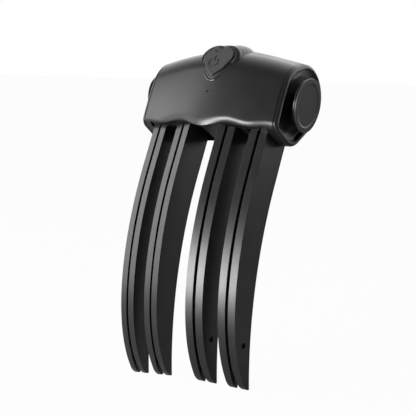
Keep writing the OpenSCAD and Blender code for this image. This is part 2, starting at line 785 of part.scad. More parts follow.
// A rib across the plate, its lower back corner cut off along the curve of the heel
module rib(x0, x1, top) {
    translate([x0, 0, 0]) rotate([90, 0, 90]) linear_extrude(x1 - x0) polygon([
        [tang_front, plate_z + fit_gap], [tang_back - rib_cut, plate_z + fit_gap], [tang_back, rod_z - fit_gap],
        [tang_back, top], [tang_front, top]]);
}
module guide_rods() {
    color(steel_col) stance() for (y = [rod_front, rod_back]) {
        along_x(-rod_half, rod_half, y, rod_z, rod_r);
    }
}

// Edges of a finger in its side view, as [y, z]
function bezier(p, t) =
    pow(1 - t, 3) * p[0] + 3 * t * pow(1 - t, 2) * p[1] + 3 * t * t * (1 - t) * p[2] + pow(t, 3) * p[3];
function front_edge(t) = bezier(
    [[0, 0],
     [0, -root_ease * finger_drop],
     [front_sweep - front_ease * finger_drop * cos(front_tip_angle),
      -finger_drop * (1 - front_ease * sin(front_tip_angle))],
     [front_sweep, -finger_drop]], t);
function back_edge(t) = bezier(
    [[finger_depth, 0],
     [finger_depth, -root_ease * finger_drop],
     [finger_depth + back_sweep - back_ease * finger_drop * cos(back_tip_angle),
      -finger_drop * (1 - back_ease * sin(back_tip_angle))],
     [finger_depth + back_sweep, -finger_drop]], t);
function tip_arc(cut) =
    let (r = (tip_depth - cut) / 2)
    [for (a = [200:20:340]) [front_sweep + r * (1 + cos(a)), -finger_drop + tip_round * sin(a)]];
function finger_outline(cut) = concat(
    [[heel_from, heel_top], [heel_from, blade_top], [0, blade_top]],
    [for (i = [0:edge_steps]) front_edge(i / edge_steps)],
    tip_arc(cut),
    [for (i = [edge_steps:-1:0]) back_edge(i / edge_steps) - [cut, 0]],
    [[finger_depth - cut, heel_top]]);
function strip_outline() = concat(
    [[finger_depth, heel_top], [finger_depth - strip_depth + strip_gap, heel_top]],
    [for (i = [0:edge_steps - 1]) back_edge(i / edge_steps) - [strip_depth - strip_gap, 0]],
    [for (i = [edge_steps - 1:-1:0]) back_edge(i / edge_steps)]);
// The heated part of a finger, drawn in by slack on all sides
function plate_outline(slack) =
    let (steps = plate_last - plate_first, lost = slack / finger_drop,
         ts = [for (i = [0:steps])
             plate_first / edge_steps + lost + i * ((steps / edge_steps - 2 * lost) / steps)])
    concat([for (t = ts) front_edge(t) + [plate_inset + slack, 0]],
           [for (i = [steps:-1:0]) back_edge(ts[i]) - [plate_inset + strip_depth + slack, 0]]);
function middle(t) = (front_edge(t) + back_edge(t)) / 2;
function slope(a, b) = atan((b[0] - a[0]) / (a[1] - b[1]));

// A side outline between two X planes, set back by the fan of the fingers
module fanned(x0, x1, points) {
    side = x0 + x1 > 0 ? 1 : -1;
    intersection() {
        translate([side * inner_x, 0, 0]) rotate([0, 0, side * fan]) rotate([90, 0, 90])
            linear_extrude(2 * far, center = true) polygon([for (p = points) [p[0] * cos(fan), p[1]]]);
        block(min(x0, x1), max(x0, x1), -far, far, -far, far);
    }
}

// The blade on one side of the finger at x: hand is -1 for the left one and 1 for the right one
function slot_face(x, hand) = x + hand * slot_w / 2;
function outer_face(x, hand) = x + hand * pair_w / 2;
function is_fixed(x, hand) = x * hand > 0;
module mouth_cut_at(x, hand) {
    start = middle(1 - mouth_from * mouth_len / finger_drop);
    translate([slot_face(x, hand), start[0] + fan_at(abs(x)), start[1]])
        rotate([slope(start, middle(1)), 0, 0])
            rotate([0, -hand * atan(mouth_cut / mouth_len), 0])
                translate([hand > 0 ? -pair_w : 0, -finger_depth, -2 * mouth_len])
                    cube([pair_w, 2 * finger_depth, 2 * mouth_len]);
}
module latch_cut_at(x, hand) {
    t = window_step / edge_steps;
    p = middle(t);
    translate([outer_face(x, hand), p[0] + fan_at(abs(x) + pair_w / 2), p[1]])
        rotate([slope(middle(t - window_reach), middle(t + window_reach)), 0, 0])
            cube([2 * window_depth, latch_w, latch_h], center = true);
}
module blade(x, hand) {
    low = min(slot_face(x, hand), outer_face(x, hand));
    high = low + blade_t;
    fixed = is_fixed(x, hand);
    color(blade_col) stance() difference() {
        union() {
            fanned(low, high, finger_outline(strip_depth));
            block(low, high, tang_front, tang_back, blade_top - over, tang_top);
            if (!fixed) {
                block(low, high, tang_front + tang_in, tang_back - tang_in, tang_top - over, bridge_z + tang_grip);
            }
        }
        fanned(slot_face(x, hand) - over * hand, slot_face(x, hand) + hand * (plate_t + film_t + plate_gap),
               plate_outline(0));
        mouth_cut_at(x, hand);
        for (y = [rod_front, rod_back]) {
            along_x(low - over, high + over, y, rod_z, rod_r + slide_gap);
        }
        if (fixed) {
            latch_cut_at(x, hand);
        }
    }
}
module heat_plates(blades) {
    color(steel_col) stance() for (b = blades) {
        fanned(slot_face(b[0], b[1]), slot_face(b[0], b[1]) + b[1] * plate_t, plate_outline(strip_gap));
    }
}
module heater_films(blades) {
    color(film_col) stance() for (b = blades) {
        from = slot_face(b[0], b[1]) + b[1] * plate_t;
        fanned(from, from + b[1] * film_t, plate_outline(3 * strip_gap));
    }
}
module back_strips(blades) {
    color(inner_col) stance() for (b = blades) {
        fanned(slot_face(b[0], b[1]), outer_face(b[0], b[1]), strip_outline());
    }
}
fixed_blades = [[-outer_x, -1], [-inner_x, -1], [inner_x, 1], [outer_x, 1]];
left_blades = [[-outer_x, 1], [-inner_x, 1]];
right_blades = [[inner_x, -1], [outer_x, -1]];
module fixed_blade_1() { blade(-outer_x, -1); }
module fixed_blade_2() { blade(-inner_x, -1); }
module fixed_blade_3() { blade(inner_x, 1); }
module fixed_blade_4() { blade(outer_x, 1); }
module sliding_blade_1() { blade(-outer_x, 1); }
module sliding_blade_2() { blade(-inner_x, 1); }
module sliding_blade_3() { blade(inner_x, -1); }
module sliding_blade_4() { blade(outer_x, -1); }
module fixed_heat_plates() { heat_plates(fixed_blades); }
module fixed_heater_films() { heater_films(fixed_blades); }
module fixed_back_strips() { back_strips(fixed_blades); }
module left_heat_plates() { heat_plates(left_blades); }
module left_heater_films() { heater_films(left_blades); }
module left_back_strips() { back_strips(left_blades); }
module right_heat_plates() { heat_plates(right_blades); }
module right_heater_films() { heater_films(right_blades); }
module right_back_strips() { back_strips(right_blades); }

// Bridges: each joins two sliding blades to the arm that an end button pushes
module bridge(side) {
    push_y = button_y - nose_end * sin(button_yaw) * cos(button_dip);
    push_z = button_z + nose_end * sin(button_dip);
    color(inner_col) stance() on_side(side) difference() {
        union() {
            block(inner_x - pair_w / 2 - free_gap, arm_x, tang_front, tang_back, bridge_z, bridge_top);
            block(arm_x - arm_t, arm_x, push_y - stem_w / 2, push_y + stem_w / 2, bridge_z, push_z);
            along_x(arm_x - arm_t, arm_x, push_y, push_z, arm_r);
        }
        for (x = [inner_x, outer_x]) {
            block(x - pair_w / 2 - strip_gap, x - slot_w / 2 + strip_gap,
                  tang_front + tang_in - strip_gap, tang_back - tang_in + strip_gap,
                  0, bridge_z + tang_grip + strip_gap);
        }
    }
}
module left_bridge() { bridge(-1); }
module right_bridge() { bridge(1); }

// Return springs on the rods, between the chassis ribs and the outer sliding blades
wire_sides = 6;
wire_steps = 8; // sections in a turn
spring_seat = 0.05; // slack at either end of a spring
coil_gap = 0.3; // room between a spring and its rod
spring_from = rib_x + rib_t + wire_r + spring_seat;
spring_to = outer_x - pair_w / 2 - wire_r - spring_seat;
coil_r = rod_r + wire_r + coil_gap;
function coil_ring(a, y) = [for (j = [0:wire_sides - 1])
    let (b = j * 360 / wire_sides, r = coil_r + wire_r * cos(b),
         x = spring_from + (spring_to - spring_from) * a / (360 * spring_turns))
    [x + wire_r * sin(b), y + r * cos(a), rod_z + r * sin(a)]];
module springs(side) {
    last = wire_steps * spring_turns;
    color(steel_col) stance() on_side(side) for (y = [rod_front, rod_back]) {
        loft([for (i = [last:-1:0]) coil_ring(i * 360 / wire_steps, y)]);
    }
}
module left_springs() { springs(-1); }
module right_springs() { springs(1); }

front_shell();
rear_shell();
end_ring_left();
end_ring_right();
button_bezel();
chassis();
light_pipe();
circuit_board();
switch_body();
board_screws();
battery_tray();
battery_cell();
battery_tabs();
charge_port();
charge_board();
shell_screws();
guide_rods();
fixed_blade_1();
fixed_blade_2();
fixed_blade_3();
fixed_blade_4();
fixed_heat_plates();
fixed_heater_films();
fixed_back_strips();
sliding_blade_1();
sliding_blade_2();
left_bridge();
left_heat_plates();
left_heater_films();
left_back_strips();
left_springs();
button_left();
cap_left();
clip_left();
sliding_blade_3();
sliding_blade_4();
right_bridge();
right_heat_plates();
right_heater_films();
right_back_strips();
right_springs();
button_right();
cap_right();
clip_right();
power_button();
switch_plunger();
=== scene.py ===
"""Looks of the cordless volumizing hair iron.

Sizes are millimetres of the head frame: X along the head, Y to its back, Z up, with Z = 0 where the
fingers start to bend and Y = 0 at the front of the inner fingers. Stance turns them into metres.
"""

import logging
import math
from dataclasses import dataclass, field
from enum import Enum
from typing import Iterable, Sequence

import bmesh
import bpy
from mathutils import Matrix, Vector


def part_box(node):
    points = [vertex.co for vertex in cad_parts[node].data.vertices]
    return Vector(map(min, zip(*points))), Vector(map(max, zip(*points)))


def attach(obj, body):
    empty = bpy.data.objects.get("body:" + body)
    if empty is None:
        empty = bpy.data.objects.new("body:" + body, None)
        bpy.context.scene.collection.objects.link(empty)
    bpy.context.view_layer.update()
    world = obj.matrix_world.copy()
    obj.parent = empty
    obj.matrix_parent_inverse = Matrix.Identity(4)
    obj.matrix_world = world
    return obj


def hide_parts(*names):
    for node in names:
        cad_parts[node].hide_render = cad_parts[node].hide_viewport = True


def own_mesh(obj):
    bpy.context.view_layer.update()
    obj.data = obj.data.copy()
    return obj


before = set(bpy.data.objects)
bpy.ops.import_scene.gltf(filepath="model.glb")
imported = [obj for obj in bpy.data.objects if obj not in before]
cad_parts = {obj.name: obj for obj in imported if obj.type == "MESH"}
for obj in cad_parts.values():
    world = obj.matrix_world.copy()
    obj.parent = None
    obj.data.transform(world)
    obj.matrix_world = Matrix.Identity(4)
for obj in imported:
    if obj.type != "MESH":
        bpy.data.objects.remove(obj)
log = logging.getLogger("hair_iron")

MM = 0.001
IMAGE_SIDE = 416

# Lengths in millimetres under which steps are left out, points are one, and nothing is left
LEAST_STEP = 0.02
MERGE = 1e-4
NOTHING = 1e-12

# Angles in degrees at which a rounded edge gets its points, and the number of steps of a finer one
ROUNDING = (30.0, 60.0, 90.0)
CORNER_STEPS = 4

# Places of the two guide rods
ROD_Y = (7.2, 13.6)
ROD_Z = 26.2

# Length of a band of the Wave texture at scale 1, and the sockets of a Mix node that mixes colours
WAVE_LENGTH = 0.3
MIX_FACTOR, MIX_LOW, MIX_HIGH, MIX_RESULT = 0, 6, 7, 2

# Mirrors the right hand end into the left hand one
MIRROR = Matrix.Scale(-1, 4, (1, 0, 0))

Flat = tuple[float, float]
Point = tuple[float, float, float]
Circle = tuple[float, float, float]
Row = tuple[Flat, Flat]


class Side(Enum):
    """Which end of the head a piece belongs to, as the sign of its X."""

    LEFT = -1
    RIGHT = 1

    @property
    def word(self) -> str:
        """The side as it stands in the names of nodes and bodies."""
        return self.name.lower()


class Part(Enum):
    """What a boolean step does with its tool."""

    CUT = "DIFFERENCE"
    JOIN = "UNION"


def steps(first: float, last: float, count: int) -> list[float]:
    """Evenly spaced values from first to last, both included."""
    return [first + (last - first) * i / count for i in range(count + 1)]


def mix(a: Sequence[float], b: Sequence[float], share: float) -> tuple[float, ...]:
    """The point at a share of the way from a to b."""
    return tuple(p * (1 - share) + q * share for p, q in zip(a, b))


def circle(radius: float, count: int, start: float = 0.0) -> list[Flat]:
    """Evenly spaced points of a circle about the origin, from a start in radians on."""
    turns = steps(start, start + 2 * math.pi, count)[:-1]
    return [(radius * math.cos(a), radius * math.sin(a)) for a in turns]


def setbacks(radius: float, angles: Iterable[float]) -> list[Flat]:
    """How far a rounded edge stands back from its two faces, at angles from 0 to 90 degrees."""
    turns = [math.radians(a) for a in angles]
    return [(radius * (1 - math.cos(a)), radius * (1 - math.sin(a))) for a in turns]


def rotation(degrees: float, axis: str) -> Matrix:
    """A turn about an axis through the origin."""
    return Matrix.Rotation(math.radians(degrees), 4, axis)


def put(name: str, data: bpy.types.ID) -> bpy.types.Object:
    """Puts a new object into the scene."""
    item = bpy.data.objects.new(name, data)
    bpy.context.scene.collection.objects.link(item)
    return item


def settled(item: bpy.types.Object) -> bpy.types.Mesh:
    """The mesh of an object after its modifiers."""
    depsgraph = bpy.context.evaluated_depsgraph_get()
    return bpy.data.meshes.new_from_object(item.evaluated_get(depsgraph))


def resample(line: Sequence[Flat], count: int, turn_weight: float = 7.0) -> list[Flat]:
    """Spreads points over a line, closer together where it bends.

    Args:
        line: the points of a finely drawn line.
        count: the number of points wanted.
        turn_weight: the length that a turn of one radian counts for.

    Returns:
        The points, from the first to the last of the line.
    """
    kept = [line[0]]
    for point in line[1:-1]:
        if min(math.dist(point, kept[-1]), math.dist(point, line[-1])) > LEAST_STEP:
            kept.append(point)
    line = kept + [line[-1]]
    reach = [0.0]
    for i in range(1, len(line)):
        step = math.dist(line[i], line[i - 1])
        if i > 1 and step > LEAST_STEP / 2:
            before = Vector(line[i - 1]) - Vector(line[i - 2])
            after = Vector(line[i]) - Vector(line[i - 1])
            step += turn_weight * abs(before.angle_signed(after, 0.0))
        reach.append(reach[-1] + step)
    points = []
    i = 1
    for wanted in steps(0.0, reach[-1], count - 1):
        while i < len(line) - 1 and reach[i] < wanted:
            i += 1
        span = reach[i] - reach[i - 1]
        share = (wanted - reach[i - 1]) / span if span > NOTHING else 0.0
        points.append(mix(line[i - 1], line[i], min(1.0, max(0.0, share))))
    return points


@dataclass(frozen=True)
class Stance:
    """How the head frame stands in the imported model: it leans back, and its guide rods give its place."""

    lean: float = 28.0

    @property
    def matrix(self) -> Matrix:
        """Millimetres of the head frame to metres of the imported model."""
        turn = rotation(-self.lean, "X")
        low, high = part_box("guide_rods")
        rods = Vector((0, sum(ROD_Y) / 2, ROD_Z)) * MM
        return Matrix.Translation((low + high) / 2 - turn @ rods) @ turn @ Matrix.Scale(MM, 4)


class Solid:
    """A closed mesh on its way to a finished piece, in millimetres."""

    def __init__(self, name: str) -> None:
        """Starts an empty solid with the name of its piece."""
        self.name = name
        self.mesh = bpy.data.meshes.new(name)

    def loft(self, rings: Sequence[Sequence[Point]], loop: bool = False) -> "Solid":
        """Adds the closed body through rings of points.

        Args:
            rings: rings of as many points each, in order along the body.
            loop: joins the last ring to the first one in place of two flat ends.

        Returns:
            The solid itself.
        """
        shape, rows = self._start(rings)
        pairs = list(zip(rows, rows[1:]))
        if loop:
            pairs.append((rows[-1], rows[0]))
        else:
            shape.faces.new(rows[0])
            shape.faces.new(rows[-1])
        for here, there in pairs:
            self._bridge(shape, here, there)
        return self._close(shape)

    def cover(self, rings: Sequence[Sequence[Point]]) -> "Solid":
        """Adds a wall whose rings run out along one face and back along the other.

        Args:
            rings: rings of an even number of points, the second half going back along the first.

        Returns:
            The solid itself, with strips across the wall as its two ends.
        """
        shape, rows = self._start(rings)
        for here, there in zip(rows, rows[1:]):
            self._bridge(shape, here, there)
        count = len(rows[0])
        for end in (rows[0], rows[-1]):
            for j in range(count // 2 - 1):
                shape.faces.new((end[j], end[j + 1], end[count - 2 - j], end[count - 1 - j]))
        return self._close(shape)

    def _start(self, rings: Sequence[Sequence[Point]]) -> tuple[bmesh.types.BMesh, list[list]]:
        """Opens the mesh as a shape and adds the points of some rings to it."""
        shape = bmesh.new()
        shape.from_mesh(self.mesh)
        return shape, [[shape.verts.new(p) for p in ring] for ring in rings]

    @staticmethod
    def _bridge(shape: bmesh.types.BMesh, here: Sequence, there: Sequence) -> None:
        """Joins two rings of points with faces."""
        for j in range(len(here)):
            k = (j + 1) % len(here)
            shape.faces.new((here[j], here[k], there[k], there[j]))

    def _close(self, shape: bmesh.types.BMesh) -> "Solid":
        """Merges doubles, turns the faces outwards and stores the shape."""
        bmesh.ops.remove_doubles(shape, verts=shape.verts, dist=MERGE)
        bmesh.ops.dissolve_degenerate(shape, edges=shape.edges, dist=MERGE)
        bmesh.ops.recalc_face_normals(shape, faces=shape.faces)
        shape.to_mesh(self.mesh)
        shape.free()
        return self

    def lathe(self, profile: Sequence[Flat], segments: int = 96) -> "Solid":
        """Adds the body that a profile of (radius, height) sweeps round the Z axis."""
        rings = [[(x, y, height) for x, y in circle(radius, segments)] for radius, height in profile]
        return self.loft(rings)

    def tube(self, start: Point, end: Point, radius: float, segments: int = 40) -> "Solid":
        """Adds a round bar between two points."""
        axis = Vector(end) - Vector(start)
        place = Matrix.Translation(start) @ axis.to_track_quat("Z", "Y").to_matrix().to_4x4()
        rings = []
        for height in (0.0, axis.length):
            rings.append([tuple(place @ Vector((x, y, height))) for x, y in circle(radius, segments)])
        return self.loft(rings)

    def prism(self, outline: Sequence[Flat], low: float, high: float) -> "Solid":
        """Adds the body of a flat outline between two heights."""
        return self.loft([[(x, y, z) for x, y in outline] for z in (low, high)])

    def block(self, low: Point, high: Point) -> "Solid":
        """Adds a box between two corners."""
        corners = [(low[0], low[1]), (high[0], low[1]), (high[0], high[1]), (low[0], high[1])]
        return self.prism(corners, low[2], high[2])

    def apply(self, tool: "Solid", part: Part) -> "Solid":
        """Cuts a tool out of the solid, or joins it on, and drops the tool."""
        base = put("base", self.mesh)
        other = put("tool", tool.mesh)
        step = base.modifiers.new("step", "BOOLEAN")
        step.operation = part.value
        step.solver = "EXACT"
        step.object = other
        self.mesh = settled(base)
        for item in (base, other):
            bpy.data.objects.remove(item)
        bpy.data.meshes.remove(tool.mesh)
        self.mesh.name = self.name
        return self

    def take(self, other: "Solid") -> None:
        """Adds another solid that stands clear of this one, and drops it."""
        shape = bmesh.new()
        shape.from_mesh(self.mesh)
        shape.from_mesh(other.mesh)
        shape.to_mesh(self.mesh)
        shape.free()
        bpy.data.meshes.remove(other.mesh)

    def place(self, matrix: Matrix) -> "Solid":
        """Moves the solid, and turns its faces outwards again where the matrix mirrors it."""
        self.mesh.transform(matrix)
        if matrix.determinant() < 0:
            self.mesh.flip_normals()
        return self


class Wire:
    """A node socket in an expression, whose operators add Math nodes."""

    def __init__(self, graph: "Graph", socket: bpy.types.NodeSocket) -> None:
        """Wraps the socket of a graph."""
        self.graph = graph
        self.socket = socket

    def _math(self, operation: str, first: "Wire | float", second: "Wire | float") -> "Wire":
        """Adds a Math node and gives its result."""
        return self.graph.add("ShaderNodeMath", {"operation": operation}, {0: first, 1: second})

    def __add__(self, other: "Wire | float") -> "Wire":
        """The sum."""
        return self._math("ADD", self, other)

    def __radd__(self, other: float) -> "Wire":
        """The sum, with the number in front."""
        return self._math("ADD", other, self)

    def __sub__(self, other: "Wire | float") -> "Wire":
        """The difference."""
        return self._math("SUBTRACT", self, other)

    def __rsub__(self, other: float) -> "Wire":
        """A number less this."""
        return self._math("SUBTRACT", other, self)

    def __mul__(self, other: "Wire | float") -> "Wire":
        """The product."""
        return self._math("MULTIPLY", self, other)

    def __rmul__(self, other: float) -> "Wire":
        """The product, with the number in front."""
        return self._math("MULTIPLY", other, self)

    def above(self, limit: float) -> "Wire":
        """1 where the value is over the limit, and 0 elsewhere."""
        return self._math("GREATER_THAN", self, limit)


class Graph:
    """Adds nodes to a node tree, each with its settings first and its sockets after them."""

    def __init__(self, tree: bpy.types.NodeTree) -> None:
        """Takes an empty tree."""
        self.tree = tree

    def add(
        self, kind: str, settings: dict | None = None, sockets: dict | None = None, out: int | str = 0
    ) -> Wire:
        """Adds one node.

        Args:
            kind: the node's type.
            settings: its properties.
            sockets: values, wires or lists of wires for its inputs, by name or index.
            out: the output that the wire stands for.

        Returns:
            A wire on that output.
        """
        node = self.tree.nodes.new(kind)
        for name, value in (settings or {}).items():
            setattr(node, name, value)
        for name, value in (sockets or {}).items():
            for item in value if isinstance(value, list) else [value]:
                if isinstance(item, Wire):
                    self.join(item, node, name)
                else:
                    node.inputs[name].default_value = item
        return Wire(self, node.outputs[out]) if node.outputs else Wire(self, None)

    def join(self, wire: Wire, node: bpy.types.Node, name: int | str) -> None:
        """Links a wire to a socket of a node that is already there."""
        self.tree.links.new(wire.socket, node.inputs[name])


def grey(value: float) -> tuple[float, float, float, float]:
    """A neutral colour."""
    return (value, value, value, 1.0)


@dataclass(frozen=True)
class Finish:
    """A surface: its record slot, its colour and shine, and the texture that the moulding leaves."""

    name: str
    slot: str
    colour: tuple[float, float, float]
    roughness: float
    metallic: float = 0.0
    coat: float = 0.0
    shine: float = 0.5
    mottle: float = 0.12
    mottle_size: float = 9.0
    mottle_detail: float = 3.0
    shine_spread: float = 0.05
    grain_size: float = 0.35
    grain_detail: float = 2.0
    grain_depth: float = 0.004
    coat_roughness: float = 0.12
    stretch: tuple[float, float, float] = (1.0, 1.0, 1.0)

    def make(self) -> bpy.types.Material:
        """Builds the material, or gives the one that was built before."""
        made = bpy.data.materials.get(self.name)
        if made:
            return made
        made = bpy.data.materials.new(self.name)
        made.use_nodes = True
        made.diffuse_color = (*self.colour, 1.0)
        graph = Graph(made.node_tree)
        shader = made.node_tree.nodes["Principled BSDF"]
        place = graph.add("ShaderNodeTexCoord", out="Object")
        place = graph.add("ShaderNodeMapping", None, {"Vector": place, "Scale": self.stretch})
        cloud = self._noise(graph, place, self.mottle_size, self.mottle_detail)
        grain = self._noise(graph, place, self.grain_size, self.grain_detail)
        self._colour(graph, place, cloud, shader)
        graph.join(self.roughness + (cloud - 0.5) * (2 * self.shine_spread), shader, "Roughness")
        bump = {"Height": grain, "Distance": self.grain_depth * MM, "Strength": 1.0}
        graph.join(graph.add("ShaderNodeBump", None, bump), shader, "Normal")
        levels = {"Metallic": self.metallic, "Coat Weight": self.coat, "Coat Roughness": self.coat_roughness,
                  "Specular IOR Level": self.shine}
        for name, value in levels.items():
            shader.inputs[name].default_value = value
        return made

    def _noise(self, graph: Graph, place: Wire, size: float, detail: float) -> Wire:
        """A noise whose blots are about as large as size, in millimetres."""
        sockets = {"Vector": place, "Scale": 1.0 / (size * MM), "Detail": detail}
        return graph.add("ShaderNodeTexNoise", {"noise_dimensions": "3D"}, sockets)

    def _colour(self, graph: Graph, place: Wire, cloud: Wire, shader: bpy.types.Node) -> None:
        """Lets the colour drift a little over the surface."""
        low = tuple(c * (1 - self.mottle) for c in self.colour)
        high = tuple(c * (1 + self.mottle) for c in self.colour)
        shade = self._between(graph, cloud, low, high)
        graph.join(shade, shader, "Base Color")

    @staticmethod
    def _between(graph: Graph, share: Wire, low: Sequence[float], high: Sequence[float]) -> Wire:
        """Mixes two colours by a wire."""
        sockets = {MIX_FACTOR: share, MIX_LOW: (*low, 1.0), MIX_HIGH: (*high, 1.0)}
        return graph.add("ShaderNodeMix", {"data_type": "RGBA"}, sockets, MIX_RESULT)


@dataclass(frozen=True)
class Speckled(Finish):
    """A coating with fine flecks of a second colour in it."""

    fleck: tuple[float, float, float] = (0.3, 0.3, 0.3)
    fleck_size: float = 0.25
    fleck_share: float = 0.8

    def _colour(self, graph: Graph, place: Wire, cloud: Wire, shader: bpy.types.Node) -> None:
        """Scatters the flecks over the ground colour."""
        cells = {"Vector": place, "Scale": 1.0 / (self.fleck_size * MM)}
        dots = graph.add("ShaderNodeTexVoronoi", None, cells, "Color")
        red = graph.add("ShaderNodeSeparateColor", None, {"Color": dots}, "Red")
        shade = self._between(graph, red.above(self.fleck_share), self.colour, self.fleck)
        graph.join(shade, shader, "Base Color")


@dataclass(frozen=True)
class Tracked(Finish):
    """A surface with tracks of a second colour running along it, as on a board or a heater film."""

    track: tuple[float, float, float] = (0.3, 0.2, 0.05)
    pitch: float = 1.2
    wander: float = 2.0
    gap_share: float = 0.72

    def _colour(self, graph: Graph, place: Wire, cloud: Wire, shader: bpy.types.Node) -> None:
        """Draws the tracks as bands that wander a little."""
        sockets = {"Vector": place, "Scale": WAVE_LENGTH / (self.pitch * MM), "Distortion": self.wander}
        bands = graph.add("ShaderNodeTexWave", {"bands_direction": "X"}, sockets)
        shade = self._between(graph, bands.above(self.gap_share), self.colour, self.track)
        graph.join(shade, shader, "Base Color")


SHELL = Finish("satin_black_shell", "shell", (0.009, 0.009, 0.0092), 0.34, grain_depth=0.0015)
RING = Finish("satin_black_ring", "ring", (0.014, 0.014, 0.0143), 0.3, grain_depth=0.0015)
# Near-black finish that paints shade under the lip of the front shell and inside the bowls of the end rings
PAINTED_SHADE_BLACK = Finish("matt_black_recess", "ring", (0.004, 0.004, 0.0041), 0.5, shine=0.12, grain_depth=0.002)
KEY = Finish("soft_black_key", "button", (0.04, 0.04, 0.041), 0.4, grain_depth=0.003)
BUTTON = Finish("soft_black_button", "button", (0.065, 0.065, 0.066), 0.4, grain_depth=0.003)
# Near-black finish for the floor of the engraved power mark and dash, and painted shade on the steep sides of
# the heart button
MARK_AND_SHADE_BLACK = Finish("engraved_black", "button", (0.002, 0.002, 0.002), 0.8, shine=0.1)
# Near-black finish that paints shade inside the latch windows of the fixed blades
PAINTED_SHADE_WINDOW = Finish("unlit_black_window", "blade", (0.002, 0.002, 0.002), 0.9, shine=0.0, grain_depth=0.002)
BLADE = Finish("satin_black_blade", "blade", (0.012, 0.012, 0.0123), 0.32, grain_depth=0.002)
STRIP = Finish("matt_black_strip", "strip", (0.01, 0.01, 0.0105), 0.5)
PLATE = Speckled(
    "ceramic_plate", "heat_plate", (0.012, 0.012, 0.013), 0.28, coat=0.3, fleck=(0.05, 0.045, 0.04))
FILM = Tracked("heater_film", "film", (0.55, 0.24, 0.04), 0.3, track=(0.35, 0.1, 0.02))
INNER = Finish("black_inner_plastic", "inner_plastic", (0.008, 0.008, 0.0083), 0.5, grain_depth=0.006)
LIGHT = Finish("clear_light_pipe", "light", (0.05, 0.05, 0.052), 0.15, mottle=0.05)
BOARD = Tracked("green_board", "board", (0.01, 0.1, 0.035), 0.35, coat=0.3, track=(0.015, 0.17, 0.06))
STEEL = Finish("brushed_steel", "steel", (0.56, 0.57, 0.58), 0.28, 1.0, stretch=(0.08, 1.0, 1.0))
NICKEL = Finish("nickel_plate", "nickel", (0.62, 0.6, 0.56), 0.22, 1.0, grain_depth=0.002)
CELL = Finish("blue_cell_sleeve", "cell", (0.03, 0.12, 0.32), 0.3, coat=0.25, grain_size=1.5)


@dataclass
class Workshop:
    """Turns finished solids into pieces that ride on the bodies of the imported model."""

    stance: Stance = field(default_factory=Stance)
    sharp: float = 34.0
    lead: int = 80

    def finish(
        self, solid: Solid, finish: Finish, body: str, nodes: Sequence[str], second: Finish | None = None
    ) -> bpy.types.Object:
        """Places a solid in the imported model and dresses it.

        Args:
            solid: the solid, in millimetres of the head frame.
            finish: its finish.
            body: the body that it rides on.
            nodes: the CAD nodes that it stands for.
            second: the finish of the faces that carry material index 1.

        Returns:
            The piece.
        """
        solid.place(self.stance.matrix)
        mesh = solid.mesh
        mesh.materials.clear()
        mesh.materials.append(finish.make())
        if second:
            mesh.materials.append(second.make())
        mesh.shade_smooth()
        mesh.set_sharp_from_angle(angle=math.radians(self.sharp))
        piece = put(solid.name, mesh)
        self.even(piece)
        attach(piece, body)
        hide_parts(*nodes)
        log.info("%s rides on %s with %d faces", piece.name, body, len(mesh.polygons))
        return piece

    def even(self, piece: bpy.types.Object) -> None:
        """Lets large faces lead the shading, so that flats stay flat between soft edges."""
        step = piece.modifiers.new("even", "WEIGHTED_NORMAL")
        step.keep_sharp = True
        step.weight = self.lead
        made = settled(piece)
        piece.modifiers.clear()
        piece.data = made
        made.name = piece.name

    def dress(self, node: str, finish: Finish) -> None:
        """Gives a CAD node, whose shape is right, its finish."""
        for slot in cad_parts[node].material_slots:
            slot.material = finish.make()
        log.info("%s keeps its shape", node)


